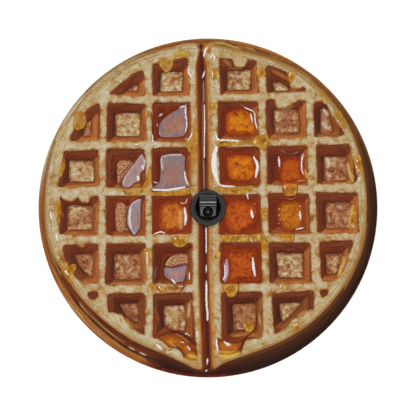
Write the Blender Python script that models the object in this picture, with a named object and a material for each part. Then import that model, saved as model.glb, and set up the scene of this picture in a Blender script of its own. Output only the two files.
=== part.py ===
"""A fitted cover for a spare wheel, with a reversing camera in its centre hole.

The cover keeps the drum shape that it has on the wheel. It lies on its open back with the printed face up.
Metres, +Z up. The origin is the centre of the circle that the cover rests on, and +Y is the top of the print.
"""

import math

import bmesh
import bpy

# The cover, for a wheel 810 mm across
COVER_RADIUS = 0.405
COVER_DEPTH = 0.240
VINYL = 0.002  # thickness of the coated cloth with its backing
GAP = 0.0003  # between pieces that touch

# Its rounded edges, its seam and its elastic mouth
FRONT_SHOULDER = 0.015
BACK_SHOULDER = 0.030
SEAM_BELOW_FACE = 0.018
SEAM_HEIGHT = 0.010
SEAM_PROUD = 0.0012
MOUTH_RADIUS = 0.306
BEAD_RADIUS = 0.006  # the hem, rolled round its elastic

# The camera, measured from the front face
HOLE_RADIUS = 0.0380
BEZEL_RADIUS = 0.0430
BEZEL_HEIGHT = 0.0090
BEZEL_ROUNDING = 0.0035
BEZEL_PILOT = 0.0100  # a first round bore, which the window takes away
BARREL_RADIUS = 0.0365
BARREL_WALL = 0.0025
BARREL_DEPTH = 0.0480
BARREL_FLOOR = 0.0040
LOCK_RING_RADIUS = 0.0480
LOCK_RING_HEIGHT = 0.0070
LOCK_RING_CHAMFER = 0.0020
SOCKET_HALF = (0.0090, 0.0060)
SOCKET_HEIGHT = 0.0100
SOCKET_WALL = 0.0020
SOCKET_FLOOR = 0.0030

# The window in the bezel: a shield, wide below its top and pointed at its foot
WINDOW = [
    (-0.0210, 0.0335),
    (-0.0312, 0.0045),
    (-0.0225, -0.0205),
    (0.0, -0.0265),
    (0.0225, -0.0205),
    (0.0312, 0.0045),
    (0.0210, 0.0335),
]

# The camera's body in the window
BODY_HALF_WIDTH = 0.0205
FACE_HALF_WIDTH = 0.0185
FACE_TOP = 0.0030
FACE_SIDE_FOOT = -0.0185
FACE_FOOT = -0.0228
FACE_FRONT = 0.0030
FACE_THICKNESS = 0.0050
LENS_CENTRE_Y = -0.0093
LENS_HOLE_RADIUS = 0.0122
LENS_HOLE_DEPTH = 0.0030
LENS_RING_WALL = 0.0034
LENS_RING_HEIGHT = 0.0022
LENS_LEDGE = 0.0015  # a step in the ring, round the glass
LENS_LEDGE_HEIGHT = 0.0022
LENS_RIM = 0.0010
LENS_DOME = 0.0024
SCREW_RADIUS = 0.0014
SCREW_HEIGHT = 0.0008
SCREW_CENTRES = [(-0.0135, -0.0005), (0.0135, -0.0005)]

# The hood's steps from the lens up, as (y, height over the front face): a lip, a groove, the high ridge, a slope
HOOD_STEPS = [
    (0.0033, 0.0042),
    (0.0048, 0.0042),
    (0.0056, 0.0062),
    (0.0080, 0.0062),
    (0.0088, 0.0046),
    (0.0110, 0.0046),
    (0.0122, 0.0080),
    (0.0158, 0.0080),
    (0.0176, 0.0056),
    (0.0290, 0.0030),
    (0.0320, 0.0030),
    (0.0320, 0.0006),
]
HOOD_OVERHANG = (0.0255, 0.0006)  # where the hood's thin top edge starts to hang over
POST_TOP = (0.0190, -0.0120)

CUTTER_REACH = 0.0200  # how far a cutter runs past what it cuts

SHELL_STEPS = 72
RING_STEPS = 48
SHOULDER_STEPS = 5


# Shapes


def arc(centre, radius, start, end, steps):
    """Points (r, z) of an arc about centre, from the start angle to the end angle in degrees."""
    points = []
    for i in range(steps + 1):
        angle = math.radians(start + (end - start) * i / steps)
        points.append((centre[0] + radius * math.cos(angle), centre[1] + radius * math.sin(angle)))
    return points


def add_object(name, mesh, material, parent=None):
    obj = bpy.data.objects.new(name, mesh)
    bpy.context.scene.collection.objects.link(obj)
    mesh.materials.append(material)
    mesh.shade_smooth()
    mesh.set_sharp_from_angle(angle=math.radians(35))
    obj.parent = parent
    return obj


def mesh_from(bm, name):
    bmesh.ops.recalc_face_normals(bm, faces=bm.faces)
    mesh = bpy.data.meshes.new(name)
    bm.to_mesh(mesh)
    bm.free()
    return mesh


def turned(name, profile, steps, material, parent=None):
    """A profile of (r, z) points turned about the Z axis: closed, or open from one point on the axis to another."""
    bm = bmesh.new()
    points = [bm.verts.new((r, 0.0, z)) for r, z in profile]
    ends_on_axis = profile[0][0] == 0.0 and profile[-1][0] == 0.0
    closing = [] if ends_on_axis else [(points[-1], points[0])]
    edges = [bm.edges.new(pair) for pair in list(zip(points, points[1:])) + closing]
    bmesh.ops.spin(
        bm, geom=points + edges, cent=(0, 0, 0), axis=(0, 0, 1), angle=math.tau, steps=steps, use_merge=True
    )
    bmesh.ops.remove_doubles(bm, verts=bm.verts, dist=1e-6)
    return add_object(name, mesh_from(bm, name), material, parent)


def prism(name, outline, low, high, material=None, parent=None, axis="Z"):
    """An outline of two coordinates, extruded from low to high along Z, or along X with (y, z) points."""
    bm = bmesh.new()
    if axis == "Z":
        points = [bm.verts.new((a, b, low)) for a, b in outline]
        along = (0, 0, high - low)
    else:
        points = [bm.verts.new((low, a, b)) for a, b in outline]
        along = (high - low, 0, 0)
    face = bm.faces.new(points)
    moved = bmesh.ops.extrude_face_region(bm, geom=[face])["geom"]
    bmesh.ops.translate(bm, vec=along, verts=[v for v in moved if isinstance(v, bmesh.types.BMVert)])
    return add_object(name, mesh_from(bm, name), material, parent)


def cut(obj, cutter):
    cutter.hide_render = True
    cutter.display_type = "WIRE"
    boolean = obj.modifiers.new("cut", "BOOLEAN")
    boolean.operation = "DIFFERENCE"
    boolean.object = cutter


def bevel(obj, width, segments=2):
    rounding = obj.modifiers.new("bevel", "BEVEL")
    rounding.width = width
    rounding.segments = segments
    rounding.limit_method = "ANGLE"
    rounding.angle_limit = math.radians(35)


def finish(name, colour, roughness):
    """A Principled BSDF of one colour (linear RGB)."""
    material = bpy.data.materials.new(name)
    material.use_nodes = True
    shader = material.node_tree.nodes["Principled BSDF"]
    shader.inputs["Base Color"].default_value = (*colour, 1.0)
    shader.inputs["Roughness"].default_value = roughness
    return material


# The cover's panels


def front_panel(material):
    """The printed disc. Its rim turns over the wheel's shoulder and ends at the seam."""
    flat_radius = COVER_RADIUS - FRONT_SHOULDER
    centre = (flat_radius, COVER_DEPTH - FRONT_SHOULDER)
    seam = COVER_DEPTH - SEAM_BELOW_FACE
    outside = [(HOLE_RADIUS, COVER_DEPTH)] + arc(centre, FRONT_SHOULDER, 90, 0, SHOULDER_STEPS)
    inside = arc(centre, FRONT_SHOULDER - VINYL, 0, 90, SHOULDER_STEPS) + [(HOLE_RADIUS, COVER_DEPTH - VINYL)]
    edge = [(COVER_RADIUS, seam + GAP / 2), (COVER_RADIUS - VINYL, seam + GAP / 2)]
    return turned("front_panel", outside + edge + inside, SHELL_STEPS, material)


def side_band(material):
    """The wall round the tread, with the raised seam at its top edge."""
    top = COVER_DEPTH - SEAM_BELOW_FACE - GAP / 2
    foot = BACK_SHOULDER + GAP / 2
    profile = [
        (COVER_RADIUS - VINYL, top),
        (COVER_RADIUS + SEAM_PROUD, top),
        (COVER_RADIUS + SEAM_PROUD, top - SEAM_HEIGHT),
        (COVER_RADIUS, top - SEAM_HEIGHT - SEAM_PROUD),
        (COVER_RADIUS, foot),
        (COVER_RADIUS - VINYL, foot),
    ]
    return turned("side_band", profile, SHELL_STEPS, material)


def back_flap(material):
    """The edge that turns in behind the wheel and ends in a hem rolled round its elastic."""
    flat_radius = COVER_RADIUS - BACK_SHOULDER
    centre = (flat_radius, BACK_SHOULDER)
    bead = (MOUTH_RADIUS + BEAD_RADIUS, BEAD_RADIUS)
    join = math.degrees(math.acos(1 - VINYL / BEAD_RADIUS))  # where the inner face meets the bead
    outside = arc(centre, BACK_SHOULDER, 0, -90, SHOULDER_STEPS + 1)
    round_bead = arc(bead, BEAD_RADIUS, -90, -360 - 90 + join, 8)
    inside = arc(centre, BACK_SHOULDER - VINYL, -90, 0, SHOULDER_STEPS + 1)
    return turned("back_flap", outside + round_bead + inside, SHELL_STEPS, material)


# The camera's pieces, in the frame of the hole, whose zero is the front face


def camera_bezel(material, parent):
    """The round flange on the face, with the shield-shaped window through it."""
    outer = arc((BEZEL_RADIUS - BEZEL_ROUNDING, BEZEL_HEIGHT - BEZEL_ROUNDING), BEZEL_ROUNDING, 0, 90, 4)
    profile = [(BEZEL_PILOT, GAP), (BEZEL_RADIUS, GAP)] + outer + [(BEZEL_PILOT, BEZEL_HEIGHT)]
    bezel = turned("camera_bezel", profile, RING_STEPS, material, parent)
    cut(bezel, prism("window_cutter", WINDOW, -CUTTER_REACH, CUTTER_REACH, parent=parent))
    bevel(bezel, 0.0010)


def camera_barrel(material, parent):
    """The cup behind the bezel, which passes through the hole in the print."""
    bore = BARREL_RADIUS - BARREL_WALL
    floor = -BARREL_DEPTH + BARREL_FLOOR
    outside = [(0.0, -BARREL_DEPTH), (BARREL_RADIUS, -BARREL_DEPTH), (BARREL_RADIUS, 0.0)]
    inside = [(bore, 0.0), (bore, floor), (0.0, floor)]
    turned("camera_barrel", outside + inside, RING_STEPS, material, parent)


def lock_ring(material, parent):
    """The nut that holds the vinyl against the bezel from behind."""
    top = -VINYL - GAP
    inner = BARREL_RADIUS + GAP
    profile = [
        (inner, top),
        (inner, top - LOCK_RING_HEIGHT),
        (LOCK_RING_RADIUS - LOCK_RING_CHAMFER, top - LOCK_RING_HEIGHT),
        (LOCK_RING_RADIUS, top - LOCK_RING_HEIGHT + LOCK_RING_CHAMFER),
        (LOCK_RING_RADIUS, top),
    ]
    turned("lock_ring", profile, RING_STEPS, material, parent)


def camera_hood(material, parent):
    """The block above the lens: a sloping back and two ridges, on a post that stands in the cup."""
    floor = -BARREL_DEPTH + BARREL_FLOOR + GAP
    face_back = FACE_FRONT - FACE_THICKNESS - GAP
    front = [(FACE_SIDE_FOOT, floor), (FACE_SIDE_FOOT, face_back), (HOOD_STEPS[0][0], face_back)]
    profile = front + HOOD_STEPS + [HOOD_OVERHANG, POST_TOP, (POST_TOP[0], floor)]
    hood = prism("camera_hood", profile, -BODY_HALF_WIDTH, BODY_HALF_WIDTH, material, parent, axis="X")
    bevel(hood, 0.0004, 1)


def camera_face(material, parent):
    """The plate round the lens. Its foot comes to a blunt point."""
    outline = [
        (-FACE_HALF_WIDTH, FACE_TOP),
        (-FACE_HALF_WIDTH, FACE_SIDE_FOOT),
        (0.0, FACE_FOOT),
        (FACE_HALF_WIDTH, FACE_SIDE_FOOT),
        (FACE_HALF_WIDTH, FACE_TOP),
    ]
    plate = prism("camera_face", outline, FACE_FRONT - FACE_THICKNESS, FACE_FRONT, material, parent)
    hole = arc((0.0, LENS_CENTRE_Y), LENS_HOLE_RADIUS, 0, 360, RING_STEPS)[:-1]
    cut(plate, prism("lens_cutter", hole, FACE_FRONT - LENS_HOLE_DEPTH, CUTTER_REACH, parent=parent))
    bevel(plate, 0.0005, 1)


def lens(ring_material, glass_material, parent):
    """The lens ring with its stepped inner wall, and the domed glass in it."""
    seat = FACE_FRONT - LENS_HOLE_DEPTH + GAP
    outer = LENS_HOLE_RADIUS - GAP
    bore = outer - LENS_RING_WALL
    top = FACE_FRONT + LENS_RING_HEIGHT
    rounding = 0.0006
    slope = 0.0014
    ring_profile = [
        (bore - LENS_LEDGE, seat),
        (outer, seat),
        (outer, top - rounding),
        (outer - rounding, top),
        (bore + slope / 2, top),
        (bore, top - slope),
        (bore, seat + LENS_LEDGE_HEIGHT),
        (bore - LENS_LEDGE, seat + LENS_LEDGE_HEIGHT),
    ]
    ring = turned("lens_ring", ring_profile, RING_STEPS, ring_material, parent)
    glass_radius = bore - LENS_LEDGE - GAP
    sphere = (glass_radius**2 + LENS_DOME**2) / (2 * LENS_DOME)
    edge_angle = math.degrees(math.acos(glass_radius / sphere))
    rim = seat + LENS_RIM
    dome = arc((0.0, rim - sphere + LENS_DOME), sphere, edge_angle, 90, 5)[:-1] + [(0.0, rim + LENS_DOME)]
    glass = turned("lens_glass", [(0.0, seat), (glass_radius, seat)] + dome, RING_STEPS // 2, glass_material, parent)
    for piece in (ring, glass):
        piece.location = (0.0, LENS_CENTRE_Y, 0.0)


def screws(material, parent):
    """The two small screws that hold the face plate, as low discs on it."""
    for side, centre in zip(("left", "right"), SCREW_CENTRES):
        circle = arc(centre, SCREW_RADIUS, 0, 360, 10)[:-1]
        prism("face_screw_" + side, circle, FACE_FRONT + GAP, FACE_FRONT + SCREW_HEIGHT, material, parent)


def cable_socket(material, parent):
    """The short boss on the cup's floor that takes the camera's plug."""
    top = -BARREL_DEPTH - GAP
    half_x, half_y = SOCKET_HALF
    corners = [(-1, -1), (1, -1), (1, 1), (-1, 1)]
    outer = [(x * half_x, y * half_y) for x, y in corners]
    inner = [(x * (half_x - SOCKET_WALL), y * (half_y - SOCKET_WALL)) for x, y in corners]
    socket = prism("cable_socket", outer, top - SOCKET_HEIGHT, top, material, parent)
    cut(socket, prism("socket_cutter", inner, top - CUTTER_REACH, top - SOCKET_FLOOR, parent=parent))
    bevel(socket, 0.0006, 1)


def main():
    for obj in list(bpy.data.objects):
        bpy.data.objects.remove(obj)
    printed = finish("printed_vinyl", (0.42, 0.19, 0.07), 0.45)
    crust = finish("side_vinyl", (0.36, 0.15, 0.05), 0.50)
    black = finish("black_plastic", (0.045, 0.045, 0.047), 0.45)
    grey = finish("grey_plastic", (0.12, 0.12, 0.12), 0.40)
    glass = finish("lens_glass", (0.02, 0.02, 0.03), 0.05)

    front_panel(printed)
    side_band(crust)
    back_flap(crust)

    hole = bpy.data.objects.new("hole_frame", None)
    bpy.context.scene.collection.objects.link(hole)
    hole.location = (0.0, 0.0, COVER_DEPTH)
    camera_bezel(black, hole)
    camera_barrel(black, hole)
    lock_ring(black, hole)
    camera_hood(black, hole)
    camera_face(grey, hole)
    lens(black, glass, hole)
    screws(black, hole)
    cable_socket(black, hole)


main()
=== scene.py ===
"""A fitted cover for a spare wheel, printed with a syrupy waffle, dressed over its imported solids.

The cover lies on its open back with the print up. Lengths are metres, but places and distances in the
painting are millimetres from the cover's centre, with +Y towards the top of the print. Colours are written
as 8-bit sRGB.
"""

import math

import bpy
import numpy as np
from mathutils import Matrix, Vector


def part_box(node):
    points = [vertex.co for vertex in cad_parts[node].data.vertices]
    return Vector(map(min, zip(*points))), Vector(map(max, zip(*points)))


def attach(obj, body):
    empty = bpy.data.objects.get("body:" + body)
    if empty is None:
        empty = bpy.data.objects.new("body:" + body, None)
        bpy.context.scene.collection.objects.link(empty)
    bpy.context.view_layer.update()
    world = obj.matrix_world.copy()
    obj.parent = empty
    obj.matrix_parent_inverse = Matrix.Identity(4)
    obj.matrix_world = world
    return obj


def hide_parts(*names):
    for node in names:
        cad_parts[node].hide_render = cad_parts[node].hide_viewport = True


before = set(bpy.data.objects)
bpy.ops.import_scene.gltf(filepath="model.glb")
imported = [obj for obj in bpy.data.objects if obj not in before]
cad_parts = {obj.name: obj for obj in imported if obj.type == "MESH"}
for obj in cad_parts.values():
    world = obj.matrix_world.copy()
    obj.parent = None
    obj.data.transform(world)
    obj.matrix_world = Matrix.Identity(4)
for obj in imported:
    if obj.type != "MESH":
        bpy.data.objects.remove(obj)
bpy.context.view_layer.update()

# The cover's main sizes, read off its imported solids
face_low, face_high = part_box("front_panel")
band_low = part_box("side_band")[0]
COVER_RADIUS = face_high.x
FACE_Z = face_high.z
SEAM_Z = face_low.z
BAND_FOOT_Z = band_low.z
VINYL = 0.002
SHOULDER = 0.015
HOLE_RADIUS = 0.038
MM = 1000.0

# The panel's mesh: rings of squares from the hole to the shoulder
RINGS = 142
HOLE_RINGS = 14
SHOULDER_STEPS = 6


# Colour


def linear(red, green, blue):
    """An 8-bit sRGB colour as linear RGB."""
    shares = np.array([red, green, blue], float) / 255
    return np.where(shares <= 0.04045, shares / 12.92, ((shares + 0.055) / 1.055) ** 2.4)


def tone(red, green, blue):
    return (*linear(red, green, blue), 1.0)


def smooth_step(values, low, high):
    share = np.clip((values - low) / (high - low), 0, 1)
    return share * share * (3 - 2 * share)


def mixed(below, above, share):
    """Two colours, or arrays of them, mixed by an array of shares."""
    return below + (above - below) * share[:, None]


# Material graphs


class Signal:
    """A socket of a material's graph. Arithmetic on it adds the nodes that work it out."""

    def __init__(self, graph, socket):
        self.graph = graph
        self.socket = socket

    def __add__(self, other):
        return self.graph.math("ADD", self, other)

    def __sub__(self, other):
        return self.graph.math("SUBTRACT", self, other)

    def __mul__(self, other):
        return self.graph.math("MULTIPLY", self, other)

    def __abs__(self):
        return self.graph.math("ABSOLUTE", self)

    def step(self, low, high):
        """0 below low and 1 above high, rising smoothly, or the reverse where low is the higher."""
        return self.graph.ranged(self, low, high)


class Graph:
    """The node graph of a new material with one Principled BSDF."""

    def __init__(self, name):
        self.material = bpy.data.materials.new(name)
        self.material.use_nodes = True
        self.tree = self.material.node_tree
        self.shader = self.tree.nodes["Principled BSDF"]

    def add(self, kind, **settings):
        node = self.tree.nodes.new("ShaderNode" + kind)
        for name, value in settings.items():
            setattr(node, name, value)
        return node

    def feed(self, socket, value):
        if isinstance(value, Signal):
            self.tree.links.new(value.socket, socket)
        else:
            socket.default_value = value

    def math(self, operation, first, second=0.0):
        node = self.add("Math", operation=operation)
        self.feed(node.inputs[0], first)
        self.feed(node.inputs[1], second)
        return Signal(self, node.outputs[0])

    def least(self, first, second):
        return self.math("MINIMUM", first, second)

    def tinted(self, colour, tint):
        return self.blend(colour, tint, 1.0, "MULTIPLY")

    def gain(self, colour, factor):
        return self.tinted(colour, (factor, factor, factor, 1.0))

    def ranged(self, value, low, high):
        node = self.add("MapRange", interpolation_type="SMOOTHSTEP")
        self.feed(node.inputs["Value"], value)
        start, end = (low, high) if low < high else (high, low)
        node.inputs["From Min"].default_value = start
        node.inputs["From Max"].default_value = end
        node.inputs["To Min"].default_value = 0.0 if low < high else 1.0
        node.inputs["To Max"].default_value = 1.0 if low < high else 0.0
        return Signal(self, node.outputs[0])

    def blend(self, below, above, share, mode="MIX"):
        node = self.add("Mix", data_type="RGBA", blend_type=mode)
        self.feed(node.inputs[0], share)
        self.feed(node.inputs[6], below)
        self.feed(node.inputs[7], above)
        return Signal(self, node.outputs[2])

    def ramp(self, value, stops):
        """A colour for each value: stops are (place, sRGB colour) pairs."""
        node = self.add("ValToRGB")
        elements = node.color_ramp.elements
        for index, (place, colour) in enumerate(stops):
            element = elements[index] if index < 2 else elements.new(place)
            element.position = place
            element.color = tone(*colour)
        self.feed(node.inputs[0], value)
        return Signal(self, node.outputs[0])

    def noise(self, place, scale, detail=2.0, rough=0.5, bent=0.0):
        node = self.add("TexNoise")
        self.feed(node.inputs["Vector"], place)
        node.inputs["Scale"].default_value = scale
        node.inputs["Detail"].default_value = detail
        node.inputs["Roughness"].default_value = rough
        node.inputs["Distortion"].default_value = bent
        return Signal(self, node.outputs[0])

    def cell_edges(self, place, scale):
        """The distance to the nearest edge of a pattern of cells."""
        node = self.add("TexVoronoi", feature="DISTANCE_TO_EDGE")
        self.feed(node.inputs["Vector"], place)
        node.inputs["Scale"].default_value = scale
        return Signal(self, node.outputs[0])

    def place(self, scale=(1.0, 1.0, 1.0)):
        """The object's own coordinates, times scale."""
        return self.stretched(Signal(self, self.add("TexCoord").outputs["Object"]), scale)

    def stretched(self, vector, scale):
        node = self.add("VectorMath", operation="MULTIPLY")
        self.feed(node.inputs[0], vector)
        node.inputs[1].default_value = scale
        return Signal(self, node.outputs[0])

    def attribute(self, name):
        return Signal(self, self.add("Attribute", attribute_name=name).outputs["Vector"])

    def split(self, vector):
        node = self.add("SeparateXYZ")
        self.feed(node.inputs[0], vector)
        return [Signal(self, socket) for socket in node.outputs]

    def join(self, *values):
        node = self.add("CombineXYZ")
        for socket, value in zip(node.inputs, values):
            self.feed(socket, value)
        return Signal(self, node.outputs[0])

    def parts(self, name):
        """The three numbers of a vector attribute."""
        return self.split(self.attribute(name))

    def bump(self, height, distance, strength=1.0):
        node = self.add("Bump")
        node.inputs["Strength"].default_value = strength
        node.inputs["Distance"].default_value = distance
        self.feed(node.inputs["Height"], height)
        self.feed(self.shader.inputs["Normal"], Signal(self, node.outputs[0]))

    def finish(self, colour, roughness, specular=0.5):
        self.feed(self.shader.inputs["Base Color"], colour)
        self.feed(self.shader.inputs["Roughness"], roughness)
        self.shader.inputs["Specular IOR Level"].default_value = specular
        return self.material


# The painting's plan: a waffle's two halves beside a groove, each with three columns of pockets

WAFFLE_OUTLINE = [  # (degrees anticlockwise from the right, mm from the centre)
    (0, 379), (15, 382), (30, 389), (45, 391), (60, 394), (90, 391), (105, 395), (120, 400), (142, 402),
    (155, 400), (167, 394), (182, 391), (195, 388), (210, 375), (225, 367), (240, 364), (255, 366),
    (261, 375), (266, 386), (272, 384), (276, 372), (284, 363), (300, 364), (315, 369), (330, 374),
    (345, 378),
]
GROOVE = [  # (y, x)
    (-400, -1), (-316, -3), (-230, -7), (-149, -9.5), (0, -10), (137, -10.5), (316, -15), (400, -17),
]
GROOVE_HALF = 13.0
NOTCH = ([340, 374], [1.0, 0.42])  # the groove's width at two heights near the top, as shares
HALF_ROUNDING = (30.0, 8.0)  # of the halves' corners at the groove's top and foot

TOP_ROW_Y = 315.0
ROW_PITCH = 106.9
ROW_GROWTH = 1.1  # of the pitch, from row to row
LEFT_COLUMN_X = -85.0
LEFT_PITCH = -111.0
RIGHT_COLUMN_X = 76.0
RIGHT_PITCH = 115.5
COLUMN_SPREAD = 0.009  # how much further apart the columns are, from row to row
COLUMN_LEAN = 1.3  # how far a row stands to the right of the one above
POCKET_HALF = 0.424  # of a pitch
LEFT_WALLS = (0.190, 0.130)  # the width of a pocket's left and right wall, of a pitch
RIGHT_WALLS = (0.172, 0.168)
TOP_WALL = 0.225
FOOT_WALL = 0.110
MISSING = {"L1r1", "R3r1"}  # the grid's pockets that lie off the waffle
POCKET_UNEVEN, FLOOR_UNEVEN = 0.9, 1.2  # the spread of the corners' places
STRAYS = {  # how far some pockets stand from the grid, across and up
    "L3r2": (-1.8, -0.6), "L3r3": (-1.8, 1.2), "L3r4": (-2.4, 1.2), "L3r5": (-1.8, -2.4), "L2r2": (0, -1.8),
    "L2r3": (-0.6, -1.2), "L2r4": (0, -2.4), "L2r5": (0.6, -3.6), "L1r4": (0, -1.2), "R1r2": (-1.8, 1.2),
    "R1r3": (0, 2.4), "R1r4": (-1.2, 0), "R1r5": (-1.8, -0.6), "R2r2": (-1.8, 6.0), "R2r3": (-2.4, 5.4),
    "R2r4": (-1.2, 3.0), "R2r5": (-1.8, 0), "R3r4": (-1.2, 4.8),
}

# Pockets that the waffle's edge cuts short or that differ from the grid, and their floors: name and outline
ODD_POCKETS = [
    ("L2r1", (-238, 272, -207, 299, -177, 323, -159, 330, -152, 326, -151, 272, -158, 269, -207, 269)),
    ("L3r1", (-133, 344, -99, 349, -66, 357, -48, 360, -44, 272, -50, 269, -133, 269)),
    ("L1r2", (-260, 252, -258, 237, -259, 162, -329, 159, -331, 167, -317, 195, -302, 219, -284, 240)),
    ("R1r1", (26, 358, 71, 356, 116, 354, 121, 274, 29, 273)),
    ("R2r1", (136, 337, 146, 342, 185, 328, 211, 298, 236, 284, 229, 277, 140, 275)),
    ("R3r2", (253, 253, 271, 257, 286, 242, 304, 210, 328, 179, 325, 173, 255, 169, 251, 237)),
    ("L1r5", (-348, -93, -343, -87, -263, -84, -260, -180, -302, -179, -317, -167, -344, -122)),
    ("R3r5", (265, -80, 346, -76, 347, -89, 337, -110, 322, -152, 307, -173, 271, -175, 267, -110)),
    ("L2r6", (-241, -210, -237, -204, -153, -203, -149, -211, -151, -301, -156, -303, -186, -283,
        -207, -253, -240, -248)),
    ("R2r6", (152, -204, 247, -196, 254, -203, 253, -244, 205, -265, 170, -298, 157, -300, 154, -229)),
    ("L1r6", (-290, -201, -263, -199, -263, -216, -275, -220, -287, -214)),
    ("R3r6", (267, -195, 289, -195, 285, -208, 274, -216, 267, -205)),
    ("L3r6", (-132, -204, -38, -201, -35, -259, -30, -304, -27, -331, -57, -328, -105, -310, -131,
        -313)),
    ("R1r6", (31, -201, 130, -199, 131, -310, 89, -315, 32, -318)),
    ("L1r3", (-344, 136, -262, 140, -260, 53, -359, 49, -357, 63, -346, 117)),
    ("R3r3", (258, 151, 338, 153, 346, 123, 357, 69, 349, 60, 261, 58)),
]
ODD_FLOORS = [
    ("L2r1", (-193, 281, -177, 292, -168, 291, -168, 279)),
    ("L3r1", (-112, 324, -62, 324, -62, 279, -113, 279)),
    ("L1r2", (-299, 173, -288, 207, -279, 210, -281, 173)),
    ("R1r1", (47, 326, 102, 329, 102, 283, 46, 282)),
    ("R2r1", (156, 301, 177, 297, 196, 281, 158, 281)),
    ("R3r2", (268, 237, 283, 234, 298, 183, 269, 181)),
    ("L1r5", (-317, -112, -274, -110, -276, -161, -284, -164, -311, -134)),
    ("R3r5", (280, -111, 320, -109, 308, -155, 284, -158)),
    ("L2r6", (-211, -229, -167, -228, -167, -269, -175, -272, -195, -256)),
    ("R2r6", (171, -229, 223, -227, 199, -253, 180, -272, 175, -265)),
    ("L3r6", (-105, -235, -56, -233, -54, -277, -57, -293, -81, -292, -103, -283)),
    ("R1r6", (59, -231, 112, -228, 115, -286, 89, -289, 62, -293)),
    ("L1r3", (-331, 112, -274, 113, -273, 64, -332, 62)),
    ("R3r3", (277, 122, 331, 123, 331, 66, 278, 65)),
    ("L2r3", (-216, 109, -180, 109, -179, 62, -216, 60)),
]

# Pools that mirror a pale sky, patches of dry floor beside them, pools of clear syrup and syrup on the ribs
SKY_POOLS = [
    ("A", (-116, 177, -117, 195, -108, 210, -90, 225, -72, 235, -53, 244, -50, 231, -50, 189, -57,
        174, -81, 169, -111, 170)),
    ("B", (-112, 122, -105, 125, -59, 126, -56, 105, -56, 78, -53, 63, -47, 54, -60, 50, -99, 45,
        -132, 42, -129, 50, -117, 60, -113, 78, -113, 105)),
    ("C", (-159, 129, -154, 122, -151, 109, -152, 93, -158, 88, -162, 82, -163, 69, -166, 64, -177,
        59, -185, 52, -194, 49, -203, 53, -204, 60, -198, 75, -190, 87, -176, 104, -167, 117)),
    ("D", (-165, 22, -159, 19, -162, 5, -161, -16, -162, -37, -165, -50, -176, -65, -182, -56, -190,
        -42, -191, -30, -189, -6, -185, 6, -177, 15)),
    ("E", (-103, -143, -88, -143, -70, -139, -52, -136, -53, -151, -56, -167, -62, -177, -72, -176,
        -79, -182, -85, -176, -95, -169, -102, -163, -105, -156)),
]
DRY_PATCHES = [
    ((-102, -137, -96, -126, -88, -117, -76, -112, -62, -110, -51, -113, -51, -133, -70, -136, -88,
        -140)),
    ((-215, 108, -193, 113, -180, 108, -195, 90, -210, 66, -215, 60)),
    ((-219, 7, -199, 8, -201, -23, -199, -50, -217, -53)),
]
CLEAR_POOLS = [
    ("R1r2", (47, 225, 80, 234, 101, 225, 110, 207, 114, 183, 104, 178, 50, 179, 44, 207)),
    ("R1r3", (47, 122, 68, 125, 104, 122, 110, 99, 110, 75, 92, 67, 56, 69, 49, 87)),
    ("R2r3", (176, 114, 199, 122, 223, 114, 226, 87, 229, 68, 211, 60, 182, 60, 174, 72, 170, 93)),
    ("R1r4", (44, 13, 77, 18, 107, 12, 114, -8, 110, -35, 86, -55, 59, -57, 43, -35, 35, -8)),
    ("R2r4", (167, -2, 182, 14, 217, 14, 226, -8, 226, -35, 213, -51, 185, -50, 169, -26)),
    ("R1r5", (46, -104, 80, -102, 110, -105, 111, -152, 119, -171, 80, -170, 43, -178, 50, -146)),
    ("L3r4", (-116, -8, -102, 12, -72, 14, -53, -2, -53, -41, -81, -55, -113, -49)),
    ("R1r6", (19, -310, 35, -314, 62, -317, 90, -311, 85, -326, 76, -344, 64, -351, 44, -352, 26,
        -347, 19, -331)),
    ("L3r6", (-124, -309, -108, -301, -85, -300, -65, -307, -49, -319, -38, -328, -29, -331, -25,
        -349, -27, -360, -37, -365, -49, -363, -59, -354, -68, -341, -80, -334, -94, -334, -102, -326,
        -113, -317)),
]
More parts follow.
